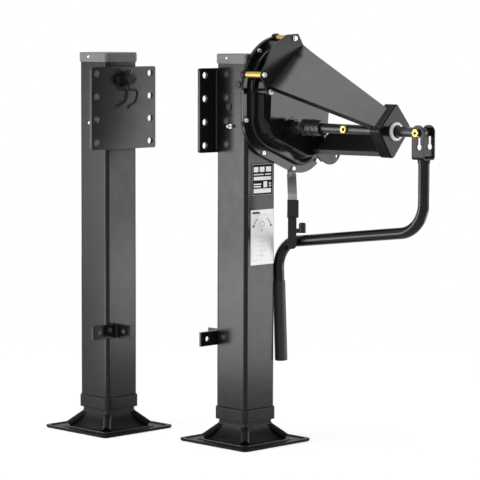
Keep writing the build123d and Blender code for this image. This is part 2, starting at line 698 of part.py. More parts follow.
def output_gear():
    phase = facing((0, SHAFT_Z), idler_spot())
    gear = spur_gear(OUTPUT_TEETH, MODULE, (0, SHAFT_Z), OUTPUT_LAYER, phase)
    return gear - rod_x(0, SHAFT_Z, (BACK_X[0], DOME_X), SHAFT_NECK_R + SEAT_GAP)


def idler_gears():
    """The large input wheel and the small pinion on one hub."""
    spot = idler_spot()
    small_phase = facing(spot, (0, SHAFT_Z)) + pi / SMALL_TEETH
    big_phase = facing(spot, (INPUT_Y, INPUT_Z))
    gears = spur_gear(SMALL_TEETH, MODULE, spot, (OUTPUT_LAYER[0], BIG_LAYER[0]), small_phase)
    gears += spur_gear(BIG_TEETH, MODULE, spot, BIG_LAYER, big_phase)
    gears += rod_x(*spot, (BIG_LAYER[1] - 1, BIG_LAYER[1] + 3), IDLER_PIN_R + 6)
    return gears - rod_x(*spot, (BACK_X[0], DOME_X), IDLER_PIN_R + RUN_GAP)


def idler_pin():
    return rod_x(*idler_spot(), (BACK_X[0] + 0.5, DOME_X - DOME_WALL - 0.5), IDLER_PIN_R)


def input_pinion():
    phase = facing((INPUT_Y, INPUT_Z), idler_spot()) + pi / INPUT_TEETH
    pinion = spur_gear(INPUT_TEETH, MODULE, (INPUT_Y, INPUT_Z), INPUT_LAYER, phase)
    bore = rod_x(INPUT_Y, INPUT_Z, (BACK_X[0], DOME_X), INPUT_SHAFT_R + SEAT_GAP)
    return pinion - bore


def input_shaft():
    low = BACK_X[0] + 3 + SHIFT + 0.5
    return rod_x(INPUT_Y, INPUT_Z, (low, COUPLING_X[0] + 20), INPUT_SHAFT_R)


def input_sleeve():
    """The bearing sleeve in the cover, with its hexagon and collar outside."""
    sleeve = rod_x(INPUT_Y, INPUT_Z, (DOME_X - DOME_WALL - 2, SLEEVE_NUT_X[0] + 1), SLEEVE_R)
    sleeve += hexagon(INPUT_Y, INPUT_Z, SLEEVE_NUT_X, SLEEVE_NUT)
    sleeve += rod_x(INPUT_Y, INPUT_Z, (SLEEVE_NUT_X[1] - 1, SLEEVE_NUT_X[1] + 8), SLEEVE_R)
    bore = (DOME_X - 20, SLEEVE_NUT_X[1] + 9)
    return sleeve - rod_x(INPUT_Y, INPUT_Z, bore, INPUT_SHAFT_R + RUN_GAP)


def button_screw(spot, x, radius=SCREW_HEAD_R, height=SCREW_HEAD):
    """A hex screw head on a washer face."""
    y, z = spot
    head = hexagon(y, z, (x + 1, x + height), radius * 1.7)
    return head + rod_x(y, z, (x, x + 1.2), radius)


def flange_screws():
    return [button_screw(spot, FLANGE_FACE) for spot in FLANGE_SCREWS]


def ring_x(spot, x, outer, inner):
    return rod_x(*spot, x, outer) - rod_x(*spot, (x[0] - 1, x[1] + 1), inner)


def standoff_sleeves():
    """Spacers that hold the bracket off the flange."""
    bore = BOLT_R + BOLT_HOLE_GAP
    return [ring_x(spot, (FLANGE_FACE, BRACKET_X), STANDOFF_R, bore) for spot in long_bolt_spots()]


def bracket_bolt(spot, low):
    """A bolt along X with a washer and a hex head on the bracket."""
    face = BRACKET_X + BRACKET_SHEET
    bolt = rod_x(*spot, (low, face + 1), BOLT_R)
    bolt += rod_x(*spot, (face, face + 2), WASHER_R)
    return bolt + hexagon(*spot, (face + 1.5, face + 6.5), BOLT_ACROSS)


def bracket_bolts():
    """Three long bolts with nuts behind the gearbox, and a short one in the cover's boss."""
    bolts = [bracket_bolt(BASE_BOLT, BRACKET_X - BASE_BOLT_DEEP)]
    for spot in long_bolt_spots():
        bolt = bracket_bolt(spot, BACK_X[0] - NUT_HIGH - 3)
        bolts.append(bolt + hexagon(*spot, (BACK_X[0] - NUT_HIGH, BACK_X[0]), BOLT_ACROSS))
    return bolts


# Crank support bracket
def strip(near, near_x, far, far_x, across):
    """A straight strip between two lines in the YZ plane, thickened by a vector (y, z)."""
    def end(line, x):
        a, b = line
        dy, dz = across
        corners = [(x, *a), (x, *b), (x, b[0] + dy, b[1] + dz), (x, a[0] + dy, a[1] + dz)]
        return make_face(Wire(Polyline(*corners, close=True).edges()))
    return loft([end(near, near_x), end(far, far_x)], ruled=True)


def outward(line, size):
    """A vector square to a line in the YZ plane, away from the input shaft."""
    (ay, az), (by, bz) = line
    length = hypot(by - ay, bz - az)
    normal = ((bz - az) / length, (ay - by) / length)
    middle = ((ay + by) / 2 - INPUT_Y, (az + bz) / 2 - INPUT_Z)
    sign = 1 if normal[0] * middle[0] + normal[1] * middle[1] > 0 else -1
    return (sign * size * normal[0], sign * size * normal[1])


def shifted(point, step, share=1.0):
    return (point[0] + step[0] * share, point[1] + step[1] * share)


def web_with_lip(fold, tip, lip_at):
    """A web from a fold line to the tip plate's side, with a lip turned in along one edge."""
    out = outward(fold, BRACKET_SHEET)
    web = strip(fold, BRACKET_X, tip, TIP_X, out)
    inward = outward(fold, -LIP)
    near_edge = fold[lip_at]
    far_edge = tip[lip_at]
    along = (fold[1 - lip_at][0] - near_edge[0], fold[1 - lip_at][1] - near_edge[1])
    length = hypot(*along)
    step = (along[0] / length * BRACKET_SHEET, along[1] / length * BRACKET_SHEET)
    near_line = (shifted(near_edge, out), shifted(near_edge, inward))
    far_line = (shifted(far_edge, out), shifted(far_edge, inward))
    return web + strip(near_line, BRACKET_X, far_line, TIP_X, step)


def crank_bracket():
    """Two folded wings that run from the gearbox to the tip plate."""
    thick = (BRACKET_X, BRACKET_X + BRACKET_SHEET)
    base = sheet([(thick[0], y, z) for y, z in UPPER_BASE], (1, 0, 0), BRACKET_SHEET)
    upper = web_with_lip(UPPER_FOLD, (TIP_LEFT, WING_TOP), 0)
    lower = web_with_lip(LOWER_FOLD, (TIP_BOTTOM, TIP_RIGHT), 0)
    out = outward(LOWER_FOLD, 34)
    tab = [LOWER_FOLD[0], LOWER_FOLD[1], shifted(LOWER_FOLD[1], out), shifted(LOWER_FOLD[0], out)]
    foot = sheet([(thick[0], y, z) for y, z in tab], (1, 0, 0), BRACKET_SHEET)
    foot += rod_x(*EAR_CENTRE, thick, EAR_R)
    foot += rod_x(*EAR_BOLT, thick, STANDOFF_LUG + 2)
    inside = outward(LOWER_FOLD, -60)
    keep_out = [LOWER_FOLD[0], LOWER_FOLD[1], shifted(LOWER_FOLD[1], inside),
                shifted(LOWER_FOLD[0], inside)]
    foot -= sheet([(thick[0] - 1, y, z) for y, z in keep_out], (1, 0, 0), BRACKET_SHEET + 2)
    foot -= rod_x(*EAR_HOLE, (thick[0] - 1, thick[1] + 1), EAR_HOLE_R)
    foot -= rod_x(*EAR_BOLT, (thick[0] - 1, thick[1] + 1), BOLT_R + BOLT_HOLE_GAP)
    for spot in list(STANDOFFS) + [BASE_BOLT]:
        base -= rod_x(*spot, (thick[0] - 1, thick[1] + 1), BOLT_R + BOLT_HOLE_GAP)
    return [base + upper, lower + foot]


def bracket_tip():
    """The diamond tip plate, with flanges turned back over the upper wing and below."""
    corners = [TIP_LEFT, TIP_TOP, TIP_RIGHT, TIP_BOTTOM]
    grown = []
    for corner in corners:
        middle = (sum(c[0] for c in corners) / 4, sum(c[1] for c in corners) / 4)
        away = (corner[0] - middle[0], corner[1] - middle[1])
        length = hypot(*away)
        grow = 1.4 * (BRACKET_SHEET + TIP_SHEET + 0.5) / length
        grown.append(shifted(corner, away, grow))
    diamond = sheet([(TIP_X, y, z) for y, z in grown], (1, 0, 0), TIP_SHEET)
    diamond = fillet(diamond.edges().filter_by(Axis.X), TIP_ROUND)
    inner = []
    for corner in grown:
        middle = (sum(c[0] for c in corners) / 4, sum(c[1] for c in corners) / 4)
        away = (middle[0] - corner[0], middle[1] - corner[1])
        length = hypot(*away)
        inner.append(shifted(corner, away, 1.4 * TIP_SHEET / length))
    skirt = sheet([(TIP_X - TIP_FLANGE, y, z) for y, z in grown], (1, 0, 0), TIP_FLANGE + 1)
    skirt = fillet(skirt.edges().filter_by(Axis.X), TIP_ROUND)
    core = sheet([(TIP_X - TIP_FLANGE - 1, y, z) for y, z in inner], (1, 0, 0), TIP_FLANGE + 3)
    core = fillet(core.edges().filter_by(Axis.X), TIP_ROUND - TIP_SHEET)
    skirt -= core
    left, top, right, bottom = grown
    open_side = [shifted(top, (right[0] - left[0], 0), 0.06), shifted(top, TIP_OPEN_ABOVE),
                 shifted(bottom, TIP_OPEN_BELOW), shifted(bottom, (right[0] - left[0], 0), 0.06)]
    skirt -= sheet([(TIP_X - TIP_FLANGE - 2, y, z) for y, z in open_side], (1, 0, 0), TIP_FLANGE + 2)
    tip = diamond + skirt
    front = tip.faces().sort_by(Axis.X)[-1]
    tip = fillet(front.outer_wire().edges(), TIP_SHEET - 1)
    for wing in crank_bracket():
        tip -= wing
    hole = (TIP_X - 1, TIP_X + TIP_SHEET + 1)
    return tip - rod_x(INPUT_Y, INPUT_Z, hole, TIP_BUSH_R - 3 + SEAT_GAP)


def tip_bush():
    """A flanged plastic bush that guides the crank shaft."""
    bush = rod_x(INPUT_Y, INPUT_Z, (TIP_X - 6, TIP_X + TIP_SHEET + 6), TIP_BUSH_R - 3)
    bush += rod_x(INPUT_Y, INPUT_Z, (TIP_X + TIP_SHEET, TIP_X + TIP_SHEET + 6), TIP_BUSH_R)
    outer = bush.faces().sort_by(Axis.X)[-1]
    bush = fillet(outer.edges(), 2)
    return bush - rod_x(INPUT_Y, INPUT_Z, (TIP_X - 7, TIP_X + TIP_SHEET + 7), CRANK_SHAFT_R + RUN_GAP)


# Crank drive
def coupling():
    """The knuckle between the input shaft and the crank shaft."""
    a, b = COUPLING_X
    middle = (a + b) / 2
    body = rod_x(INPUT_Y, INPUT_Z, (a, b), COUPLING_R)
    body += hexagon(INPUT_Y, INPUT_Z, (a + 3, a + 16), 2 * COUPLING_R + 2)
    body += rod_x(INPUT_Y, INPUT_Z, (middle + 1, middle + 6), COUPLING_R + 2)
    body += rod_x(INPUT_Y, INPUT_Z, (a - COUPLING_COLLAR, a + 1), CRANK_SHAFT_R)
    body -= rod_x(INPUT_Y, INPUT_Z, (a - COUPLING_COLLAR - 1, middle), INPUT_SHAFT_R + SEAT_GAP)
    cross = b - CROSS_BOLT_IN
    body -= rod((cross, INPUT_Y - 40, INPUT_Z), (cross, INPUT_Y + 40, INPUT_Z), CROSS_BOLT_R + SEAT_GAP)
    return body - rod_x(INPUT_Y, INPUT_Z, (middle, b + 1), CRANK_SHAFT_R + SEAT_GAP)


def crank_shaft():
    """The tubular shaft, closed and rounded where the pivot bolt crosses it."""
    start = (COUPLING_X[0] + COUPLING_X[1]) / 2
    shaft = rod_x(INPUT_Y, INPUT_Z, (start, PIVOT_X + CRANK_SHAFT_R), CRANK_SHAFT_R)
    shaft = fillet(shaft.edges().group_by(Axis.X)[-1], CRANK_SHAFT_R * 0.7)
    shaft -= rod_x(INPUT_Y, INPUT_Z, (start - 1, TIP_X), CRANK_SHAFT_R - 4)
    hole = ((PIVOT_X, INPUT_Y - 30, INPUT_Z), (PIVOT_X, INPUT_Y + 30, INPUT_Z))
    shaft -= rod(*hole, PIVOT_R + SEAT_GAP)
    for x in (COUPLING_X[1] - CROSS_BOLT_IN, CROSS_BOLT_X):
        shaft -= rod((x, INPUT_Y - 30, INPUT_Z), (x, INPUT_Y + 30, INPUT_Z), CROSS_BOLT_R + SEAT_GAP)
    return shaft


def cross_bolt(x, reach):
    """A bolt across a shaft, with its head towards -Y."""
    bolt = rod((x, INPUT_Y - reach, INPUT_Z), (x, INPUT_Y + reach + 3, INPUT_Z), CROSS_BOLT_R)
    profile = Plane.XZ * RegularPolygon(9, 6, major_radius=False)
    head = extrude(profile, 6)
    bolt += Pos(x, INPUT_Y - reach, INPUT_Z) * head
    return bolt + Pos(x, INPUT_Y + reach + 6, INPUT_Z) * head


def coupling_pin():
    """A plain pin across the coupling, set below its surface."""
    x = COUPLING_X[1] - CROSS_BOLT_IN
    reach = COUPLING_R - 1
    return rod((x, INPUT_Y - reach, INPUT_Z), (x, INPUT_Y + reach, INPUT_Z), CROSS_BOLT_R)


def pivot_bolt():
    """The bolt that the crank folds about: hex head towards -Y and a nut."""
    half = CLEVIS_INSIDE / 2 + CLEVIS_SHEET
    bolt = rod((PIVOT_X, INPUT_Y - half - 2, INPUT_Z), (PIVOT_X, INPUT_Y + half + 8, INPUT_Z), PIVOT_R)
    profile = Plane.XZ * RegularPolygon(9, 6, major_radius=False)
    head = extrude(profile, 7)
    bolt += Pos(PIVOT_X, INPUT_Y - half - 0.4, INPUT_Z) * head
    return bolt + Pos(PIVOT_X, INPUT_Y + half + 7.6, INPUT_Z) * head


def crank_clevis():
    """A bent yoke: two keyhole-slotted cheeks joined below the slots."""
    half = CLEVIS_INSIDE / 2
    outer = half + CLEVIS_SHEET
    width = (PIVOT_X - CLEVIS_WIDTH / 2 + 3, PIVOT_X + CLEVIS_WIDTH / 2 + 3)
    yoke = block(width, (INPUT_Y - outer, INPUT_Y + outer), (CLEVIS_LOW_Z, CLEVIS_TOP_Z))
    ends = yoke.edges().filter_by(Axis.Y).group_by(Axis.Z)[-1]
    yoke = fillet(ends, CLEVIS_WIDTH / 2 - 1)
    low = yoke.edges().filter_by(Axis.X).group_by(Axis.Z)[0]
    yoke = fillet(low, CLEVIS_SHEET * 2)
    gap = (INPUT_Y - half, INPUT_Y + half)
    inside = block((width[0] - 1, width[1] + 1), gap, (CLEVIS_LOW_Z + CLEVIS_SHEET, CLEVIS_TOP_Z + 1))
    yoke -= fillet(inside.edges().filter_by(Axis.X).group_by(Axis.Z)[0], CLEVIS_SHEET)
    across = ((PIVOT_X, INPUT_Y - CLEVIS_WIDTH, 0), (PIVOT_X, INPUT_Y + CLEVIS_WIDTH, 0))
    yoke -= Pos(0, 0, INPUT_Z) * rod(*across, PIVOT_R + RUN_GAP)
    yoke -= Pos(SLOT_ASIDE, 0, SLOT_LOW_Z) * rod(*across, SLOT_END_R)
    middle = PIVOT_X + SLOT_ASIDE
    slot = (middle - SLOT_WIDTH / 2, middle + SLOT_WIDTH / 2)
    sides = (INPUT_Y - CLEVIS_WIDTH, INPUT_Y + CLEVIS_WIDTH)
    return yoke - block(slot, sides, (SLOT_LOW_Z, INPUT_Z - PIVOT_R - 2))


def crank_path():
    points = [(x, INPUT_Y, z) for x, z in CRANK_POINTS]
    return FilletPolyline(*points, radius=list(CRANK_BENDS))


def crank_tube():
    """The bent tube of the crank, open at its far end."""
    path = crank_path()
    start = Plane(origin=path @ 0, z_dir=path % 0)
    section = start * (Circle(CRANK_TUBE_R) - Circle(CRANK_TUBE_R - CRANK_WALL))
    tube = sweep(section, path=path)
    return tube + rod((CRANK_POINTS[0][0], INPUT_Y, CLEVIS_LOW_Z - 8),
                      (CRANK_POINTS[0][0], INPUT_Y, CLEVIS_LOW_Z), CRANK_TUBE_R + 1.5)


def crank_grip():
    """A turning sleeve on the crank's free end."""
    end = Vector(CRANK_POINTS[3][0], INPUT_Y, CRANK_POINTS[3][1])
    back = (Vector(CRANK_POINTS[2][0], INPUT_Y, CRANK_POINTS[2][1]) - end).normalized()
    low = end - back * 3
    high = end + back * GRIP_LENGTH
    grip = rod(tuple(low), tuple(high), GRIP_R)
    grip = fillet(grip.edges().sort_by(Axis.Z)[0], 4)
    bore = rod(tuple(end - back * 0.3), tuple(high + back), CRANK_TUBE_R + RUN_GAP)
    return grip - bore


# Crank holder
def ribbon(points, thickness):
    """Corners of a bent strip of even thickness about a line of (x, y) points."""
    left = []
    right = []
    for i, here in enumerate(points):
        steps = []
        if i > 0:
            steps.append((Vector(*here) - Vector(*points[i - 1])).normalized())
        if i < len(points) - 1:
            steps.append((Vector(*points[i + 1]) - Vector(*here)).normalized())
        along = steps[0] if len(steps) == 1 else (steps[0] + steps[1]).normalized()
        square = Vector(-along.Y, along.X)
        first = Vector(-steps[0].Y, steps[0].X)
        reach = thickness / 2 / square.dot(first)
        left.append((here[0] + square.X * reach, here[1] + square.Y * reach))
        right.append((here[0] - square.X * reach, here[1] - square.Y * reach))
    return left + right[::-1]


def holder_plane():
    """The upright plane in which the holder reaches from the rim out to the crank's bar."""
    return Plane(origin=(BACK_X[0] - HOLDER_SHEET / 2, HOLDER_Y, 0), x_dir=(1, -1, 0), z_dir=(-1, -1, 0))


def holder_slab(corners, across):
    """A slab of the holder: corners are (out, z), across is its pair of limits sideways."""
    profile = holder_plane() * make_face(Wire(Polyline(*corners, close=True).edges()))
    slab = extrude(profile, across[1] - across[0], dir=(1, 1, 0))
    move = across[0] * 0.5 ** 0.5
    return Pos(move, move, 0) * slab


def holder_strap():
    """A flat strap, bolted behind the rim and bent out to the crank's bar."""
    line = [(0, HOLDER_BEND_Z), (0, HOLDER_BEND_Z - 8), (HOLDER_OUT, HOLDER_Z[1] + 12),
            (HOLDER_OUT, HOLDER_Z[1] - 22)]
    half = HOLDER_WIDTH / 2
    strap = holder_slab(ribbon(line, HOLDER_SHEET), (-half, half))
    tab_y = (HOLDER_Y - half - 2, HOLDER_Y + half + 2)
    return strap + block((BACK_X[0] - HOLDER_SHEET, BACK_X[0]), tab_y, (HOLDER_BEND_Z - 14, HOLDER_Z[0]))


def holder_clip():
    """The moulded clip: a block on the strap, a cheek beside the bar and a finger over it."""
    near = HOLDER_OUT + HOLDER_SHEET / 2
    half = HOLDER_WIDTH / 2
    block_z = (CLIP_TOP_Z - 46, CLIP_TOP_Z)
    body = holder_slab([(near, block_z[0]), (near + 9, block_z[0] + 4), (near + 9, block_z[1] - 3),
                        (near, block_z[1])], (-half - 1, half + 4))
    body += holder_slab([(near - 11, block_z[0]), (near, block_z[0]), (near, block_z[0] + 14),
                         (near - 11, block_z[0] + 14)], (-half - 1, half + 4))
    cheek = holder_slab([(near - 11, CLIP_LOW_Z), (near, CLIP_LOW_Z), (near, block_z[0] + 1),
                         (near - 11, block_z[0] + 1)], (-half + 1, half - 1))
    low = cheek.edges().filter_by(Axis((0, 0, 0), (1, -1, 0))).group_by(Axis.Z)[0]
    body += fillet(low, HOLDER_WIDTH / 2 - 2)
    body += holder_slab([(near - 11, CLIP_ARM_Z), (near, CLIP_ARM_Z), (near, CLIP_ARM_Z + 11),
                         (near - 11, CLIP_ARM_Z + 11)], (half - 3, half + 22))
    middle = (holder_plane().origin + Vector(1, -1) * (near - 5.5) * 0.5 ** 0.5
              + Vector(1, 1) * (half + 14) * 0.5 ** 0.5)
    knob = rod_z(middle.X, middle.Y, (CLIP_ARM_Z, CLIP_ARM_Z + 26), 9)
    return body + fillet(knob.edges().sort_by(Axis.Z)[-1], 4)


def hook_pin():
    """The spring hook through the slave stub's cross hole, hanging beside the flange."""
    x = STUB_HOLE_X
    shank = rod((x, 0, SHAFT_Z - STUB_R - 6), (x, 0, SHAFT_Z + STUB_R + 7), STUB_HOLE_R - RUN_GAP)
    knob = rod((x, 0, SHAFT_Z + STUB_R + 6), (x, 0, SHAFT_Z + STUB_R + 12), STUB_HOLE_R + 3)
    path = FilletPolyline((x, 0, SHAFT_Z - STUB_R - 4), (x, 0, SHAFT_Z - STUB_R - 14),
                          (x, 34, SHAFT_Z - STUB_R - 16), (x, 24, SHAFT_Z - STUB_R - 46),
                          (x, -4, SHAFT_Z - STUB_R - 60), radius=[5, 10, 12])
    start = Plane(origin=path @ 0, z_dir=path % 0)
    hook = sweep(start * Circle(4), path=path)
    return shank + knob + hook


# Assembly
def placed(spot, shape):
    """A shape, or a list of shapes that share a node, moved to a leg."""
    if isinstance(shape, list):
        return Compound(children=[Pos(*spot, 0) * piece for piece in shape])
    return Pos(*spot, 0) * shape


def leg_parts(prefix, spot, side):
    """The pieces that both legs have; side is the sign of the inboard direction."""
    parts = {
        "upper_tube": upper_tube(),
        "top_cap": top_cap(side < 0),
        "bottom_collar": bottom_collar(),
        "mounting_plate": mounting_plate(side),
        "strut_bracket": strut_bracket(side),
        "lower_tube": lower_tube(),
        "foot_plate": foot_plate(),
        "foot_hood": foot_hood(),
        "lift_nut": lift_nut(),
        "lift_screw": lift_screw(),
        "bulkhead": bulkhead(),
        "bevel_gear": bevel_gear(),
        "bevel_pinion": bevel_pinion(),
    }
    return {f"{prefix}_{name}": placed(spot, shape) for name, shape in parts.items()}


def shared_parts():
    """Small parts that come once or more on both legs, one node for each kind."""
    geared = {
        "thrust_bearings": [thrust_bearing()],
        "bearing_flanges": [bearing_flange(-1)],
        "flange_bolts": flange_bolts(-1),
        "grease_nipples": [grease_nipple(NIPPLE_Z)],
        "side_plugs": [side_plug(-PLUG_X, PLUG_Z), side_plug(*UPPER_PLUG)],
        "shaft_bushes": [shaft_bush(-1, PLATE_FACE, JOURNAL_R), shaft_bush(1, BACK_X[1], SHAFT_NECK_R)],
    }
    slave = {
        "thrust_bearings": [thrust_bearing()],
        "bearing_flanges": [bearing_flange(1)],
        "flange_bolts": flange_bolts(1),
        "grease_nipples": [grease_nipple(NIPPLE_Z)],
        "side_plugs": [side_plug(PLUG_X, PLUG_Z)],
        "shaft_bushes": [shaft_bush(1, PLATE_FACE, JOURNAL_R), shaft_bush(-1, TUBE_HALF, SHAFT_NECK_R)],
    }
    parts = {}
    for name in geared:
        pieces = [Pos(*GEARED_LEG, 0) * piece for piece in geared[name]]
        pieces += [Pos(*SLAVE_LEG, 0) * piece for piece in slave[name]]
        parts[name] = Compound(children=pieces)
    return parts


def gearbox_parts():
    return {
        "gearbox_back_plate": back_plate(),
        "gearbox_gasket": gasket(),
        "gearbox_cover": gearbox_cover(),
        "gearbox_screws": flange_screws(),
        "output_gear": output_gear(),
        "idler_gears": idler_gears(),
        "idler_pin": idler_pin(),
        "input_pinion": input_pinion(),
        "input_shaft": input_shaft(),
        "input_sleeve": input_sleeve(),
        "standoff_sleeves": standoff_sleeves(),
        "bracket_bolts": bracket_bolts(),
        "crank_bracket": crank_bracket(),
        "bracket_tip": bracket_tip(),
        "tip_bush": tip_bush(),
    }


def crank_parts():
    return {
        "shaft_coupling": coupling(),
        "crank_shaft": crank_shaft(),
        "shaft_cross_bolts": [coupling_pin(), cross_bolt(CROSS_BOLT_X, CRANK_SHAFT_R)],
        "pivot_bolt": pivot_bolt(),
        "crank_clevis": crank_clevis(),
        "crank_tube": crank_tube(),
        "crank_grip": crank_grip(),
        "holder_strap": holder_strap(),
        "holder_clip": holder_clip(),
    }


def shaft_parts():
    """The output shafts, which differ between the legs."""
    return {
        "geared_output_shaft": placed(GEARED_LEG, geared_output_shaft()),
        "slave_output_shaft": placed(SLAVE_LEG, slave_output_shaft()),
        "slave_hook_pin": placed(SLAVE_LEG, hook_pin()),
    }


def build():
    parts = leg_parts("geared", GEARED_LEG, -1)
    parts.update(leg_parts("slave", SLAVE_LEG, 1))
    parts.update(shared_parts())
    parts.update(shaft_parts())
    for name, shape in {**gearbox_parts(), **crank_parts()}.items():
        parts[name] = placed(GEARED_LEG, shape)
    os.makedirs("parts", exist_ok=True)
    for name, shape in parts.items():
        export_step(shape, f"parts/{name}.step")
        print(name, round(shape.volume / 1000, 1), "cm3")


if __name__ == "__main__":
    build()
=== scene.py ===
import json
import math

import bmesh
import bpy
from mathutils import Matrix, Vector


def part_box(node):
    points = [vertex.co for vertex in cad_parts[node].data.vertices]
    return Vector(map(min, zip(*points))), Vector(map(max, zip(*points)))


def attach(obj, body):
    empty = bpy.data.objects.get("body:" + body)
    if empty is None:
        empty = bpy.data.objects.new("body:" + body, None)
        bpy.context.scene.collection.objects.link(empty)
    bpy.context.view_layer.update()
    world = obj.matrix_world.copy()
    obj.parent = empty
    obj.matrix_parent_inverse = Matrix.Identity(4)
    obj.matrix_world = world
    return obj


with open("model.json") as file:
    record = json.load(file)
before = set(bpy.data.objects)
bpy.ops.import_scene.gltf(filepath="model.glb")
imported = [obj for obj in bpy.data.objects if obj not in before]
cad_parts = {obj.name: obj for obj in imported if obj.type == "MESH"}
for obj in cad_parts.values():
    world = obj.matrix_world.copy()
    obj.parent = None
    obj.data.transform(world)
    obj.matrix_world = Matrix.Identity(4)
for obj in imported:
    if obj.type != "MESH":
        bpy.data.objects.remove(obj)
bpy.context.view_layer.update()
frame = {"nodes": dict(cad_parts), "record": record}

MM = 0.001
WHITE = (1.0, 1.0, 1.0, 1.0)
LEGS = ("geared", "slave")

# Camera, solved from the photograph
CAMERA_PLACE = (4.2620, -4.2649, 1.0937)
CAMERA_YAW = math.radians(45.12)
CAMERA_PITCH = math.radians(5.39)
CAMERA_ROLL = math.radians(0.18)
CAMERA_LENS = 175.78
CAMERA_SENSOR = 36.0
CAMERA_REACH = 100.0

# Paint and metals: colour, roughness, metallic share, specular level
FINISHES = {
    "black_paint": ((0.007, 0.007, 0.0073), 0.23, 0.0, 0.18),
    "gloss_black": ((0.006, 0.006, 0.0063), 0.13, 0.0, 0.19),
    "deep_black": ((0.006, 0.006, 0.0063), 0.15, 0.0, 0.09),
    # painted light: a lighter copy of the black paint, standing in for the light that the slave leg's
    # plate does not get to reflect
    "plate_painted_light": ((0.027, 0.027, 0.0275), 0.24, 0.0, 0.20),
    "foot_black": ((0.006, 0.006, 0.0063), 0.34, 0.0, 0.05),
    "cap_steel": ((0.106, 0.106, 0.108), 0.40, 0.0, 0.30),
    "zinc_bolts": ((0.80, 0.80, 0.79), 0.34, 1.0, 0.5),
    "black_fittings": ((0.008, 0.008, 0.009), 0.42, 0.0, 0.25),
    "yellow_zinc": ((0.42, 0.29, 0.09), 0.42, 1.0, 0.5),
    "bright_steel": ((0.66, 0.66, 0.66), 0.30, 1.0, 0.5),
    "dark_steel": ((0.012, 0.012, 0.013), 0.30, 0.0, 0.40),
    "machined_steel": ((0.42, 0.42, 0.43), 0.30, 1.0, 0.5),
    "bronze": ((0.55, 0.38, 0.18), 0.34, 1.0, 0.5),
    "grip_plastic": ((0.012, 0.012, 0.0125), 0.48, 0.0, 0.30),
    "gasket_rubber": ((0.016, 0.016, 0.016), 0.70, 0.0, 0.20),
    "bush_plastic": ((0.84, 0.84, 0.82), 0.45, 0.0, 0.40),
    "clip_rubber": ((0.009, 0.009, 0.010), 0.50, 0.0, 0.25),
    "weld_paint": ((0.012, 0.012, 0.0125), 0.26, 0.0, 0.25),
    # painted reflection: the strap is black paint, and this grey colour stands in for the reflection that
    # it shows
    "strap_painted_reflection": ((0.33, 0.33, 0.333), 0.55, 0.0, 0.15),
    "plate_frame": ((0.42, 0.42, 0.43), 0.40, 0.0, 0.50),
    "plate_field": ((0.004, 0.004, 0.004), 0.55, 0.0, 0.08),
    "label_white": ((0.91, 0.91, 0.91), 0.45, 0.0, 0.40),
    "label_ink": ((0.12, 0.12, 0.125), 0.50, 0.0, 0.30),
    # near-black for print and small dark marks, and for painted shade in gaps, screw sockets and bolt
    # hollows
    "dark_marks_and_painted_shade": ((0.004, 0.004, 0.004), 0.80, 0.0, 0.10),
}
# Nodes that look unlike the rest of their slot in the photograph
OWN_FINISH = {
    "bracket_tip": "deep_black",
    "crank_clevis": "deep_black",
    "crank_tube": "gloss_black",
    "gearbox_cover": "gloss_black",
    "geared_foot_hood": "foot_black",
    "geared_foot_plate": "foot_black",
    # painted reflection: the strap gets a grey colour in place of the reflection on its black paint
    "holder_strap": "strap_painted_reflection",
    "slave_foot_hood": "foot_black",
    "slave_foot_plate": "foot_black",
    "slave_hook_pin": "black_fittings",
    # painted light: this plate is made lighter than the other black paint to stand in for light it does
    # not reflect
    "slave_mounting_plate": "plate_painted_light",
    "slave_output_shaft": "black_fittings",
}

# Texture of a finish: scales are in waves to the metre
NOISE_LOW = 0.3
NOISE_HIGH = 0.7
MOTTLE_SCALE = 9.0
COLOUR_SPREAD = (0.86, 1.14)
SMEAR_SCALE = 34.0
ROUGHNESS_SPREAD = (0.88, 1.16)
GRAIN_SCALE = 1100.0
GRAIN_DEPTH = 0.2 * MM
GRAIN_STRENGTH = 0.06
ORANGE_PEEL = {"black_paint": 0.10, "cap_steel": 0.08, "weld_paint": 0.16, "clip_rubber": 0.25,
               "grip_plastic": 0.30, "bush_plastic": 0.15, "gasket_rubber": 0.30}
TURNED = ("zinc_bolts", "yellow_zinc", "bright_steel", "machined_steel", "bronze", "dark_steel")
BRUSH_SCALE = 260.0
BRUSH_STRETCH = (1.0, 0.08, 1.0)
BRUSH_DEPTH = 0.1 * MM
BRUSH_STRENGTH = 0.12
EDGE_ROUND = 0.9 * MM


# Materials
def node(tree, kind, **values):
    """A shader node whose named inputs or attributes are set."""
    made = tree.nodes.new(kind)
    for name, value in values.items():
        if name in made.inputs:
            made.inputs[name].default_value = value
        else:
            setattr(made, name, value)
    return made


def remap(tree, source, start, end, low, high, kind="LINEAR"):
    """The source's values from start to end stretched to low and high."""
    stretch = node(tree, "ShaderNodeMapRange", interpolation_type=kind)
    stretch.inputs["From Min"].default_value = start
    stretch.inputs["From Max"].default_value = end
    stretch.inputs["To Min"].default_value = low
    stretch.inputs["To Max"].default_value = high
    tree.links.new(source, stretch.inputs["Value"])
    return stretch.outputs["Result"]


def noise(tree, place, scale, detail, roughness=0.5):
    """Noise over the object's own coordinates."""
    made = node(tree, "ShaderNodeTexNoise", Scale=scale, Detail=detail, Roughness=roughness)
    tree.links.new(place, made.inputs["Vector"])
    return made.outputs["Fac"]


def bump(tree, height, normal, strength, depth):
    """A bump of the height on top of another normal."""
    made = node(tree, "ShaderNodeBump", Strength=strength, Distance=depth)
    tree.links.new(height, made.inputs["Height"])
    tree.links.new(normal, made.inputs["Normal"])
    return made.outputs["Normal"]


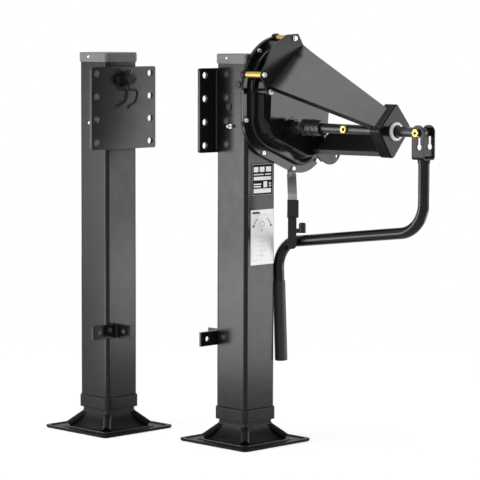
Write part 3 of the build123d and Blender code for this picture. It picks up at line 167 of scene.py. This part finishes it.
def finish_material(slot):
    """A procedural finish: mottled colour, uneven gloss, fine grain and rounded edges."""
    colour, roughness, metallic, specular = FINISHES[slot]
    made = bpy.data.materials.new(slot)
    made.use_nodes = True
    tree = made.node_tree
    shader = tree.nodes["Principled BSDF"]
    shader.inputs["Metallic"].default_value = metallic
    shader.inputs["Specular IOR Level"].default_value = specular
    place = node(tree, "ShaderNodeTexCoord").outputs["Object"]

    mottle = noise(tree, place, MOTTLE_SCALE, 6.0, 0.6)
    tint = node(tree, "ShaderNodeMix", data_type="RGBA")
    dark, light = COLOUR_SPREAD
    tint.inputs["A"].default_value = (*[c * dark for c in colour], 1)
    tint.inputs["B"].default_value = (*[min(c * light, 1) for c in colour], 1)
    tree.links.new(remap(tree, mottle, NOISE_LOW, NOISE_HIGH, 0, 1), tint.inputs["Factor"])
    tree.links.new(tint.outputs["Result"], shader.inputs["Base Color"])

    smear = noise(tree, place, SMEAR_SCALE, 5.0, 0.7)
    smooth, rough = [roughness * share for share in ROUGHNESS_SPREAD]
    uneven = remap(tree, smear, NOISE_LOW, NOISE_HIGH, smooth, rough)
    tree.links.new(uneven, shader.inputs["Roughness"])

    grain = noise(tree, place, GRAIN_SCALE, 2.0)
    edges = node(tree, "ShaderNodeBevel", samples=6, Radius=EDGE_ROUND).outputs["Normal"]
    strength = ORANGE_PEEL.get(slot, GRAIN_STRENGTH)
    surface = bump(tree, grain, edges, strength, GRAIN_DEPTH)
    if slot in TURNED:
        squeeze = node(tree, "ShaderNodeMapping")
        squeeze.inputs["Scale"].default_value = BRUSH_STRETCH
        tree.links.new(place, squeeze.inputs["Vector"])
        lines = noise(tree, squeeze.outputs["Vector"], BRUSH_SCALE, 3.0)
        surface = bump(tree, lines, surface, BRUSH_STRENGTH, BRUSH_DEPTH)
    tree.links.new(surface, shader.inputs["Normal"])
    return made


materials = {slot: finish_material(slot) for slot in FINISHES}


def dress_nodes():
    """Gives every CAD node its own finish or the material of its slot in the record."""
    for row in frame["record"]["subparts"]:
        mesh = frame["nodes"][row["node"]].data
        mesh.materials.clear()
        look = OWN_FINISH.get(row["node"], row["material_slot"])
        mesh.materials.append(materials[look])


# Mesh helpers
BEAD_STEP = 0.55
BEAD_WAVES = (1.9, 0.37)


def piece(name, bm, look, body="root", smooth=True):
    """Turns a bmesh into an object that rides on a body."""
    bmesh.ops.recalc_face_normals(bm, faces=bm.faces)
    mesh = bpy.data.meshes.new(name)
    bm.to_mesh(mesh)
    bm.free()
    made = bpy.data.objects.new(name, mesh)
    bpy.context.scene.collection.objects.link(made)
    mesh.materials.append(materials[look])
    for polygon in mesh.polygons:
        polygon.use_smooth = smooth
    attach(made, body)
    return made


def box_middle(name):
    """The middle of a node's box."""
    low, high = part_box(name)
    return (low + high) / 2


def half_width(name):
    """Half of a node's size along X."""
    low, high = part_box(name)
    return (high.x - low.x) / 2


def along(points, step, closed):
    """Points at an even step along a polyline."""
    corners = [Vector(p) for p in points]
    if closed:
        corners.append(corners[0])
    placed = []
    for a, b in zip(corners, corners[1:]):
        count = max(1, round((b - a).length / step))
        placed += [a.lerp(b, i / count) for i in range(count)]
    return placed if closed else placed + [corners[-1]]


def add_bead(bm, points, radius, closed=False, ripple=0.16, sides=8):
    """A weld bead: a tube whose thickness ripples along its run."""
    path = along(points, radius * BEAD_STEP, closed)
    rings = []
    last = len(path) - 1
    side = None
    for i, here in enumerate(path):
        before = path[i - 1] if i or closed else here
        after = path[(i + 1) % len(path)] if i < last or closed else here
        run = (after - before).normalized()
        if side is None:
            side = run.orthogonal().normalized()
        side = (side - run * side.dot(run)).normalized()
        up = run.cross(side)
        fast, slow = [i * wave for wave in BEAD_WAVES]
        size = radius * (1 + ripple * math.sin(fast) * math.cos(slow))
        ring = []
        for k in range(sides):
            turn = 2 * math.pi * k / sides
            ring.append(bm.verts.new(here + (side * math.cos(turn) + up * math.sin(turn)) * size))
        rings.append(ring)
    pairs = list(zip(rings, rings[1:]))
    if closed:
        pairs.append((rings[-1], rings[0]))
    for a, b in pairs:
        for k in range(sides):
            bm.faces.new((a[k], a[(k + 1) % sides], b[(k + 1) % sides], b[k]))
    if not closed:
        bm.faces.new(rings[0])
        bm.faces.new(rings[-1])


def square_loop(centre, half, corner, z, steps=5):
    """A closed square with round corners, level at z."""
    loop = []
    for quarter in range(4):
        sx = (1, -1, -1, 1)[quarter]
        sy = (1, 1, -1, -1)[quarter]
        for i in range(steps + 1):
            turn = math.pi / 2 * (quarter + i / steps)
            x = centre.x + sx * (half - corner) + corner * math.cos(turn)
            y = centre.y + sy * (half - corner) + corner * math.sin(turn)
            loop.append((x, y, z))
    return loop


def upright_circle(centre, radius, count):
    """Points of a circle about an axis along X."""
    x, y, z = centre
    turns = [2 * math.pi * k / count for k in range(count)]
    return [(x, y + radius * math.cos(turn), z + radius * math.sin(turn)) for turn in turns]


def add_slab(bm, corners, thickness):
    """A flat slab on the outline of corners, raised by the vector thickness."""
    low = [bm.verts.new(Vector(c)) for c in corners]
    high = [bm.verts.new(Vector(c) + Vector(thickness)) for c in corners]
    bm.faces.new(low)
    bm.faces.new(high)
    count = len(corners)
    for i in range(count):
        j = (i + 1) % count
        bm.faces.new((low[i], low[j], high[j], high[i]))


def add_dome(bm, centre, normal, radius, height, rings=4, sides=20):
    """A low dome, such as a rivet head, standing on its centre."""
    out = Vector(normal).normalized()
    side = out.orthogonal().normalized()
    up = out.cross(side)
    last = None
    for r in range(rings):
        turn = math.pi / 2 * r / rings
        width = radius * math.cos(turn)
        lift = out * height * math.sin(turn)
        ring = []
        for k in range(sides):
            angle = 2 * math.pi * k / sides
            offset = (side * math.cos(angle) + up * math.sin(angle)) * width
            ring.append(bm.verts.new(Vector(centre) + lift + offset))
        if last:
            for k in range(sides):
                bm.faces.new((last[k], last[(k + 1) % sides], ring[(k + 1) % sides], ring[k]))
        last = ring
    top = bm.verts.new(Vector(centre) + out * height)
    for k in range(sides):
        bm.faces.new((last[k], last[(k + 1) % sides], top))


# Welds: the radius of each bead, and how far it stops short of an edge
PLATE_SIDE_BEAD = 4.2 * MM
PLATE_SIDE_SHORT = 6 * MM
PLATE_SIDE_IN = 1 * MM
PLATE_END_BEAD = 3.4 * MM
PLATE_END_SHORT = 14 * MM
STRUT_BEAD = 2.6 * MM
STRUT_SHORT = (10 * MM, 4 * MM)
STRUT_END_BEAD = 2.4 * MM
STRUT_END_SHORT = 2 * MM
# Painted shade at the collar: dark rings where the gaps above and below its band lie in shade; bead
# radius, gap to the tube and corner of the loop
SHADE_LINE_ABOVE = (1.5 * MM, 0.9 * MM, 9 * MM)
SHADE_LINE_BELOW = (1.2 * MM, 1.2 * MM, 7 * MM)
SHADE_LINE_RIPPLE = 0.05
# Foot welds: bead radius, gap to the wall, corner of the loop and lift
HOOD_TOP_WELD = (2.0 * MM, 0.8 * MM, 5 * MM, 0.6 * MM)
HOOD_BASE_WELD = (2.2 * MM, 0.3 * MM, 11 * MM, 0.8 * MM)


def leg_welds(prefix):
    """Beads around the mounting plate and the strut bracket of one leg."""
    centre = box_middle(f"{prefix}_upper_tube")
    half = half_width(f"{prefix}_upper_tube")
    front, back = centre.y - half, centre.y + half
    bm = bmesh.new()
    low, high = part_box(f"{prefix}_mounting_plate")
    side = 1 if high.x > centre.x + half else -1
    face = centre.x + side * half
    for y in (front + PLATE_SIDE_IN, back - PLATE_SIDE_IN):
        line = [(face, y, low.z + PLATE_SIDE_SHORT), (face, y, high.z - PLATE_SIDE_SHORT)]
        add_bead(bm, line, PLATE_SIDE_BEAD)
    for z in (low.z, high.z):
        line = [(face, front + PLATE_END_SHORT, z), (face, back - PLATE_END_SHORT, z)]
        add_bead(bm, line, PLATE_END_BEAD)
    low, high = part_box(f"{prefix}_strut_bracket")
    for z in (low.z, high.z):
        line = [(face, front + STRUT_SHORT[0], z), (face, high.y - STRUT_SHORT[1], z)]
        add_bead(bm, line, STRUT_BEAD)
    line = [(face, high.y, low.z + STRUT_END_SHORT), (face, high.y, high.z - STRUT_END_SHORT)]
    add_bead(bm, line, STRUT_END_BEAD)
    piece(f"{prefix}_leg_welds", bm, "weld_paint")


def collar_shade_lines(prefix):
    """Dark rings above and below the collar's band: painted shade of the narrow gaps there."""
    low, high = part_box(f"{prefix}_bottom_collar")
    centre = (low + high) / 2
    bm = bmesh.new()
    for tube, z, shade_line in (("upper_tube", high.z, SHADE_LINE_ABOVE), ("lower_tube", low.z, SHADE_LINE_BELOW)):
        radius, gap, corner = shade_line
        loop = square_loop(centre, half_width(f"{prefix}_{tube}") + gap, corner, z)
        add_bead(bm, loop, radius, closed=True, ripple=SHADE_LINE_RIPPLE)
    # painted shade: dark rings drawn where the gaps at the collar lie in shade
    piece(f"{prefix}_collar_shade_lines", bm, "dark_marks_and_painted_shade")


def foot_welds(prefix):
    """Beads where the hood meets the lower tube and the shoe."""
    low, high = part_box(f"{prefix}_foot_hood")
    centre = box_middle(f"{prefix}_lower_tube")
    bm = bmesh.new()
    for wall, z, weld in (("lower_tube", high.z, HOOD_TOP_WELD), ("foot_hood", low.z, HOOD_BASE_WELD)):
        radius, gap, corner, lift = weld
        loop = square_loop(centre, half_width(f"{prefix}_{wall}") + gap, corner, z + lift)
        add_bead(bm, loop, radius, closed=True)
    piece(f"{prefix}_foot_welds", bm, "weld_paint", f"{prefix}_leg")


# Data plate and white label on the geared leg's outboard face
PLATE_Y = (-35 * MM, 45 * MM)
PLATE_Z = (642 * MM, 726 * MM)
PLATE_CORNER = 5 * MM
PLATE_THICK = 0.9 * MM
RIM_EDGES = ((1.6 * MM, 4 * MM), (3.0 * MM, 3 * MM))
RIM_HIGH = 0.12 * MM
FIELDS_IN = 7 * MM
FIELD_HIGH = 0.1 * MM
# blank fields: (left, right, low, high) as shares of the plate
FIELDS = ((0.02, 0.98, 0.01, 0.17), (0.02, 0.42, 0.22, 0.27), (0.02, 0.44, 0.31, 0.36),
          (0.56, 0.76, 0.21, 0.43), (0.86, 0.98, 0.24, 0.29), (0.86, 0.98, 0.33, 0.38),
          (0.02, 0.98, 0.48, 0.61), (0.02, 0.56, 0.67, 0.71), (0.64, 0.98, 0.67, 0.71),
          (0.02, 0.28, 0.78, 0.97), (0.35, 0.61, 0.78, 0.97), (0.69, 0.98, 0.78, 0.97))
LABEL_Y = (-36 * MM, 47 * MM)
LABEL_Z = (465 * MM, 607 * MM)
LABEL_THICK = 0.35 * MM
INK_THICK = 0.08 * MM
# turning arcs: start and end of each arc and the way that its arrow points, in degrees
SWEEPS = ((12, 62, -78), (168, 118, -102))
SWEEP_DOWN = 52 * MM
SWEEP_R = 33 * MM
SWEEP_LINE = 1.8 * MM
SWEEP_HEAD = (6 * MM, 2.0 * MM)
GUIDE_ARC = (62, 118)
GUIDE_OUT = 7 * MM
GUIDE_LINE = 0.5 * MM
# the small loop with its stem and arrow between the arcs
LOOP_UP = 14 * MM
LOOP_R = 8 * MM
LOOP_ARC = (-70, 250)
LOOP_LINE = 1.0 * MM
STEM_LEAN = 1 * MM
STEM_END = 17 * MM
STEM_LINE = 1.2 * MM
STEM_WAY = -95
STEM_HEAD = (4 * MM, 1.4 * MM)
# the dark bar at the label's top
BAR_DOWN = 8 * MM
BAR_SPAN = (6 * MM, 33 * MM)
BAR_LINE = 4.6 * MM
# the thin rules below the arcs, uneven in place and length
ROWS = 6
ROW_START = 12
ROW_PITCH = 12
ROW_LEFT = (8, 11, 26)
ROW_LONG = (22, 5, 17)
ROW_LINE = 0.5 * MM
COLUMNS = (0.0, 0.48, 1.0)
COLUMN_EDGE = 6
COLUMN_ACROSS = 71
COLUMN_SPAN = (8 * MM, 80 * MM)
COLUMN_LINE = 0.35 * MM


def outboard_face():
    """The X of the geared leg's face that carries the plate and the label."""
    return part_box("geared_upper_tube")[1].x


def panel(y, z, x):
    """Corners of an upright rectangle that faces +X."""
    return [(x, y[0], z[0]), (x, y[1], z[0]), (x, y[1], z[1]), (x, y[0], z[1])]


def inset(limits, size):
    """Limits drawn in by a size at both ends."""
    return (limits[0] + size, limits[1] - size)


def between(limits, share):
    """The place at a share of the way from the low limit to the high one."""
    return limits[0] + share * (limits[1] - limits[0])


def round_panel(y, z, x, corner, steps=4):
    """Corners of an upright rectangle with round corners that faces +X."""
    points = []
    centres = [(y[1] - corner, z[1] - corner), (y[0] + corner, z[1] - corner),
               (y[0] + corner, z[0] + corner), (y[1] - corner, z[0] + corner)]
    for quarter, (cy, cz) in enumerate(centres):
        for i in range(steps + 1):
            turn = math.pi / 2 * (quarter + i / steps)
            points.append((x, cy + corner * math.cos(turn), cz + corner * math.sin(turn)))
    return points


def add_frame(bm, outer, inner, rise):
    """A flat frame between two outlines that have as many points, raised by a vector."""
    rings = [[bm.verts.new(Vector(c) + lift) for c in ring]
             for ring, lift in ((outer, Vector()), (outer, rise), (inner, rise), (inner, Vector()))]
    count = len(outer)
    for a, b in zip(rings, rings[1:] + rings[:1]):
        for i in range(count):
            j = (i + 1) % count
            bm.faces.new((a[i], a[j], b[j], b[i]))


def data_plate():
    """A black plate with a thin light frame and blank fields."""
    face = outboard_face()
    bm = bmesh.new()
    add_slab(bm, round_panel(PLATE_Y, PLATE_Z, face, PLATE_CORNER), (PLATE_THICK, 0, 0))
    piece("data_plate", bm, "plate_field", smooth=False)
    top = face + PLATE_THICK
    outer, inner = [round_panel(inset(PLATE_Y, edge), inset(PLATE_Z, edge), top, corner)
                    for edge, corner in RIM_EDGES]
    bm = bmesh.new()
    add_frame(bm, outer, inner, Vector((RIM_HIGH, 0, 0)))
    piece("data_plate_frame", bm, "plate_frame", smooth=False)
    across = inset(PLATE_Y, FIELDS_IN)
    upward = inset(PLATE_Z, FIELDS_IN)
    bm = bmesh.new()
    for left, right, low, high in FIELDS:
        y = (between(across, left), between(across, right))
        z = (between(upward, low), between(upward, high))
        add_slab(bm, panel(y, z, top), (FIELD_HIGH, 0, 0))
    piece("data_plate_fields", bm, "label_white", smooth=False)


def add_stroke(bm, points, width, x):
    """A flat printed line on a face that looks along +X; points are (y, z)."""
    half = width / 2
    for (ay, az), (by, bz) in zip(points, points[1:]):
        length = math.hypot(by - ay, bz - az)
        ny, nz = -(bz - az) / length * half, (by - ay) / length * half
        ring = [(x, ay + ny, az + nz), (x, by + ny, bz + nz), (x, by - ny, bz - nz), (x, ay - ny, az - nz)]
        add_slab(bm, ring, (INK_THICK, 0, 0))


def arc(centre, radius, start, end, steps=12):
    """Points of an arc in the YZ plane; angles in degrees."""
    points = []
    for i in range(steps + 1):
        turn = math.radians(start + (end - start) * i / steps)
        points.append((centre[0] + radius * math.cos(turn), centre[1] + radius * math.sin(turn)))
    return points


def add_arrow(bm, tip, angle, head, x):
    """Two strokes back from a tip; angle is the way that it points, in degrees."""
    size, width = head
    ends = []
    for turn in (150, -150):
        way = math.radians(angle + turn)
        ends.append((tip[0] + size * math.cos(way), tip[1] + size * math.sin(way)))
    add_stroke(bm, [ends[0], tip, ends[1]], width, x)


def label_arcs(bm, x):
    """The arcs with arrows, the small loop between them and the bar at the top."""
    middle = (between(LABEL_Y, 0.5), LABEL_Z[1] - SWEEP_DOWN)
    for start, end, angle in SWEEPS:
        line = arc(middle, SWEEP_R, start, end)
        add_stroke(bm, line, SWEEP_LINE, x)
        add_arrow(bm, line[0], angle, SWEEP_HEAD, x)
    loop_y, loop_z = middle[0], middle[1] + LOOP_UP
    add_stroke(bm, arc((loop_y, loop_z), LOOP_R, *LOOP_ARC), LOOP_LINE, x)
    foot = (loop_y - STEM_LEAN, loop_z - STEM_END)
    add_stroke(bm, [(loop_y, loop_z - LOOP_R), foot], STEM_LINE, x)
    add_arrow(bm, (foot[0], foot[1] - STEM_LEAN), STEM_WAY, STEM_HEAD, x)
    add_stroke(bm, arc(middle, SWEEP_R + GUIDE_OUT, *GUIDE_ARC), GUIDE_LINE, x)
    bar_z = LABEL_Z[1] - BAR_DOWN
    add_stroke(bm, [(LABEL_Y[0] + end, bar_z) for end in BAR_SPAN], BAR_LINE, x)


def label_rules(bm, x):
    """Thin level and upright rules over the label's lower part."""
    for row in range(ROWS):
        z = LABEL_Z[0] + (ROW_START + row * ROW_PITCH) * MM
        start, shift, wrap = ROW_LEFT
        left = LABEL_Y[0] + (start + (row * shift) % wrap) * MM
        short, more, limit = ROW_LONG
        length = (short + (row * more) % limit) * MM
        add_stroke(bm, [(left, z), (left + length, z)], ROW_LINE, x)
    for share in COLUMNS:
        y = LABEL_Y[0] + (COLUMN_EDGE + share * COLUMN_ACROSS) * MM
        add_stroke(bm, [(y, LABEL_Z[0] + end) for end in COLUMN_SPAN], COLUMN_LINE, x)


def white_label():
    """A film label with turning arcs and ruled lines."""
    face = outboard_face()
    bm = bmesh.new()
    add_slab(bm, panel(LABEL_Y, LABEL_Z, face), (LABEL_THICK, 0, 0))
    piece("turning_label", bm, "label_white", smooth=False)
    top = face + LABEL_THICK
    bm = bmesh.new()
    label_arcs(bm, top)
    piece("turning_label_print", bm, "dark_marks_and_painted_shade", smooth=False)
    bm = bmesh.new()
    label_rules(bm, top)
    piece("turning_label_rules", bm, "label_ink", smooth=False)


# Small marks and fittings
MARK_SLOT_Z = 848 * MM
# corners of the slot: places along X and Z from its middle
MARK_SLOT = ((-16 * MM, 0), (6 * MM, -1 * MM), (6 * MM, 1.5 * MM), (-16 * MM, 1 * MM))
MARK_SLOT_HIGH = 0.3 * MM
MARK_DOT = (-4 * MM, 893 * MM)
MARK_DOT_SIZE = (1.8 * MM, 0.6 * MM)
CAP_RIVET = (-14 * MM, 1 * MM)
CAP_RIVET_SIZE = (3.0 * MM, 1.4 * MM)
SCREWS_APART = 12 * MM
# painted shade of the screw sockets: radius and height of the dark hexagons
SOCKET_SHADE_R = 2.3 * MM
SOCKET_SHADE_HIGH = 0.15 * MM
PLUG_IN = 10 * MM
PLUG_OUT = 19.05 * MM
PLUG_SIZE = (5.2 * MM, 0.9 * MM)
# painted shade of the bolts' hollows: how far in from the +X end, and the dark domes' size
HOLLOW_SHADE_IN = {"shaft_cross_bolts": 9 * MM, "pivot_bolt": 10.4 * MM}
HOLLOW_SHADE_SIZE = (4.2 * MM, 0.4 * MM)
# painted shadow in the gap between the bush and the shaft: radius, bead thickness and point count of the
# black ring
SHADOW_RING_R = 14.6 * MM
SHADOW_RING_BEAD = 1.5 * MM
SHADOW_RING_POINTS = 40


def side_marks(prefix):
    """The small marks on a leg's -Y face: a slot, a dot and the cap's rivet."""
    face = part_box(f"{prefix}_upper_tube")[0].y
    middle = box_middle(f"{prefix}_upper_tube").x
    bm = bmesh.new()
    slot = [(middle + x, face, MARK_SLOT_Z + z) for x, z in MARK_SLOT]
    add_slab(bm, slot, (0, -MARK_SLOT_HIGH, 0))
    add_dome(bm, (middle + MARK_DOT[0], face, MARK_DOT[1]), (0, -1, 0), *MARK_DOT_SIZE)
    piece(f"{prefix}_side_marks", bm, "dark_marks_and_painted_shade")
    cap = f"{prefix}_top_cap"
    rivet = (middle + CAP_RIVET[0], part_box(cap)[0].y, box_middle(cap).z + CAP_RIVET[1])
    bm = bmesh.new()
    add_dome(bm, rivet, (0, -1, 0), *CAP_RIVET_SIZE)
    piece(f"{prefix}_cap_rivet", bm, "zinc_bolts")


def outer_ends(name):
    """The middle of the +X end of each separate solid of a node."""
    groups = []
    holder = frame["nodes"][name]
    for vertex in holder.data.vertices:
        place = holder.matrix_world @ vertex.co
        for group in groups:
            if math.hypot(place.y - group[0].y, place.z - group[0].z) < SCREWS_APART:
                group.append(place)
                break
        else:
            groups.append([place])
    ends = []
    for group in groups:
        low = Vector([min(p[i] for p in group) for i in range(3)])
        high = Vector([max(p[i] for p in group) for i in range(3)])
        ends.append((high.x, (low.y + high.y) / 2, (low.z + high.z) / 2))
    return ends


def screw_socket_shade():
    """Dark hexagons on the heads of the gearbox screws: painted shade of the sockets' hollows."""
    bm = bmesh.new()
    for end in outer_ends("gearbox_screws"):
        add_slab(bm, upright_circle(end, SOCKET_SHADE_R, 6), (SOCKET_SHADE_HIGH, 0, 0))
    piece("screw_socket_shade", bm, "dark_marks_and_painted_shade", smooth=False)


def coupling_plugs():
    """Black caps over the ends of the pin in the shaft coupling."""
    middle = box_middle("shaft_coupling")
    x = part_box("shaft_coupling")[1].x - PLUG_IN
    bm = bmesh.new()
    for side in (-1, 1):
        add_dome(bm, (x, middle.y + side * PLUG_OUT, middle.z), (0, side, 0), *PLUG_SIZE)
    piece("coupling_plugs", bm, "dark_steel", "crank_drive")


def bolt_hollow_shade():
    """Dark domes on the -Y ends of the cross bolt and the pivot bolt: painted shade of their hollows."""
    bm = bmesh.new()
    for name, inward in HOLLOW_SHADE_IN.items():
        low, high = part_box(name)
        add_dome(bm, (high.x - inward, low.y, box_middle(name).z), (0, -1, 0), *HOLLOW_SHADE_SIZE)
    piece("bolt_hollow_shade", bm, "dark_marks_and_painted_shade", "crank_drive")


def bush_shadow_ring():
    """A black ring between the pale bush and the crank shaft: painted shadow of the gap there."""
    middle = box_middle("tip_bush")
    centre = (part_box("tip_bush")[1].x, middle.y, middle.z)
    bm = bmesh.new()
    add_bead(bm, upright_circle(centre, SHADOW_RING_R, SHADOW_RING_POINTS), SHADOW_RING_BEAD, closed=True, ripple=0.0)
    piece("bush_shadow_ring", bm, "dark_marks_and_painted_shade")


# Floor, lamps and camera
AMBIENT = 0.6
FLOOR_SIZE = 60.0
FLOOR_GREY = 0.8
# the floor that the camera sees: its own grey, how clear it is near the object and beside
# what stands on it, and the distances from the origin at which it turns quite clear
FLOOR_SEEN = 0.95
FLOOR_CLEAR = 0.92
FLOOR_NEAR = 0.7
FLOOR_FAR = 2.0
CONTACT_CLEAR = 0.58
CONTACT_REACH = 0.30
CONTACT_RANGE = (0.7, 0.97)
# softboxes: place, target, size and power
LAMPS = {
    "key": ((-1.2, -3.6, 1.9), (0, 0, 0.55), (1.8, 1.6), 60),
    "left_near": ((-0.73, -1.02, 0.175), (0.05, -0.24, 0.175), (0.66, 0.35), 5.3),
    "left_far": ((-2.29, -2.71, 0.50), (0.19, -0.25, 0.50), (1.10, 0.80), 29),
    "left_strip": ((-1.55, -2.80, 0.75), (0.1, 0, 0.60), (0.12, 1.2), 16),
    "right_near": ((0.86, 0.89, 0.175), (0.0, 0.03, 0.175), (0.60, 0.35), 3.8),
    "right_far": ((2.53, 2.47, 0.52), (0.05, 0.0, 0.52), (1.05, 0.95), 20),
    "back_left": ((-3.0, 0.3, 0.9), (-0.2, 0, 0.5), (1.4, 1.4), 28),
    "back_right": ((-0.3, 3.0, 0.9), (0, 0, 0.5), (1.4, 1.4), 28),
    "top": ((-0.15, -0.42, 3.2), (0.1, 0, 0.6), (1.1, 1.1), 30),
}


def white_to_camera(tree, seen_shader, other_shader):
    """Mixes two shaders: the first is for camera, glossy and transmission rays."""
    path = node(tree, "ShaderNodeLightPath")
    seen = path.outputs["Is Camera Ray"]
    for ray in ("Is Glossy Ray", "Is Transmission Ray"):
        most = node(tree, "ShaderNodeMath", operation="MAXIMUM")
        tree.links.new(seen, most.inputs[0])
        tree.links.new(path.outputs[ray], most.inputs[1])
        seen = most.outputs["Value"]
    mix = node(tree, "ShaderNodeMixShader")
    tree.links.new(seen, mix.inputs["Fac"])
    tree.links.new(other_shader, mix.inputs[1])
    tree.links.new(seen_shader, mix.inputs[2])
    return mix.outputs["Shader"]


def white_world():
    """A white background that lights the object less than it shows."""
    world = bpy.data.worlds.new("studio")
    bpy.context.scene.world = world
    world.use_nodes = True
    tree = world.node_tree
    tree.nodes.clear()
    seen = node(tree, "ShaderNodeBackground", Color=WHITE, Strength=1.0)
    fill = node(tree, "ShaderNodeBackground", Color=WHITE, Strength=AMBIENT)
    out = node(tree, "ShaderNodeOutputWorld")
    mixed = white_to_camera(tree, seen.outputs["Background"], fill.outputs["Background"])
    tree.links.new(mixed, out.inputs["Surface"])


def grey_diffuse(tree, grey):
    return node(tree, "ShaderNodeBsdfDiffuse", Color=(grey, grey, grey, 1)).outputs["BSDF"]


def floor_material():
    """Takes a soft shadow near the object and lets the white background through elsewhere,
    so that an extended leg still shows below the floor."""
    made = bpy.data.materials.new("floor_white")
    made.use_nodes = True
    tree = made.node_tree
    tree.nodes.clear()
    place = node(tree, "ShaderNodeTexCoord").outputs["Object"]
    distance = node(tree, "ShaderNodeVectorMath", operation="LENGTH")
    tree.links.new(place, distance.inputs[0])
    clear = remap(tree, distance.outputs["Value"], FLOOR_NEAR, FLOOR_FAR, FLOOR_CLEAR, 1.0, "SMOOTHSTEP")
    open_sky = node(tree, "ShaderNodeAmbientOcclusion", samples=8, Distance=CONTACT_REACH)
    contact = remap(tree, open_sky.outputs["AO"], *CONTACT_RANGE, CONTACT_CLEAR, 1.0)
    share = node(tree, "ShaderNodeMath", operation="MULTIPLY")
    tree.links.new(clear, share.inputs[0])
    tree.links.new(contact, share.inputs[1])
    through = node(tree, "ShaderNodeBsdfTransparent", Color=WHITE)
    both = node(tree, "ShaderNodeMixShader")
    tree.links.new(share.outputs["Value"], both.inputs["Fac"])
    tree.links.new(grey_diffuse(tree, FLOOR_SEEN), both.inputs[1])
    tree.links.new(through.outputs["BSDF"], both.inputs[2])
    out = node(tree, "ShaderNodeOutputMaterial")
    mixed = white_to_camera(tree, both.outputs["Shader"], grey_diffuse(tree, FLOOR_GREY))
    tree.links.new(mixed, out.inputs["Surface"])
    return made


def pale_floor():
    """A thin white floor at the height on which the feet stand at rest."""
    bm = bmesh.new()
    half = FLOOR_SIZE / 2
    corners = [(-half, -half, 0), (half, -half, 0), (half, half, 0), (-half, half, 0)]
    bm.faces.new([bm.verts.new(c) for c in corners])
    mesh = bpy.data.meshes.new("floor")
    bm.to_mesh(mesh)
    bm.free()
    floor = bpy.data.objects.new("floor", mesh)
    bpy.context.scene.collection.objects.link(floor)
    mesh.materials.append(floor_material())


def softbox(name, place, target, size, power):
    """An area lamp that looks at a target."""
    lamp = bpy.data.lights.new(name, "AREA")
    lamp.shape = "RECTANGLE"
    lamp.size, lamp.size_y = size
    lamp.energy = power
    holder = bpy.data.objects.new(name, lamp)
    bpy.context.scene.collection.objects.link(holder)
    holder.location = place
    way = Vector(target) - Vector(place)
    holder.rotation_euler = way.to_track_quat("-Z", "Y").to_euler()


def photo_camera():
    """The camera at the photograph's place, with its yaw, pitch and slight roll."""
    camera = bpy.data.cameras.new("photo")
    camera.lens = CAMERA_LENS
    camera.sensor_width = CAMERA_SENSOR
    camera.clip_end = CAMERA_REACH
    holder = bpy.data.objects.new("photo", camera)
    bpy.context.scene.collection.objects.link(holder)
    flat = math.cos(CAMERA_PITCH)
    view = Vector((-math.sin(CAMERA_YAW) * flat, math.cos(CAMERA_YAW) * flat, -math.sin(CAMERA_PITCH)))
    right = Vector((math.cos(CAMERA_YAW), math.sin(CAMERA_YAW), 0))
    up = right.cross(view)
    tilted_right = right * math.cos(CAMERA_ROLL) + up * math.sin(CAMERA_ROLL)
    tilted_up = up * math.cos(CAMERA_ROLL) - right * math.sin(CAMERA_ROLL)
    turn = Matrix((tilted_right, tilted_up, -view)).transposed()
    holder.matrix_world = Matrix.Translation(CAMERA_PLACE) @ turn.to_4x4()
    bpy.context.scene.camera = holder


def studio():
    """The white background, the floor, the lamps and the camera."""
    white_world()
    pale_floor()
    for name, (place, target, size, power) in LAMPS.items():
        softbox(name, place, target, size, power)
    photo_camera()
    bpy.context.scene.view_settings.view_transform = "Standard"


dress_nodes()
for leg in LEGS:
    leg_welds(leg)
    collar_shade_lines(leg)
    foot_welds(leg)
    side_marks(leg)
data_plate()
white_label()
screw_socket_shade()
coupling_plugs()
bolt_hollow_shade()
bush_shadow_ring()
studio()
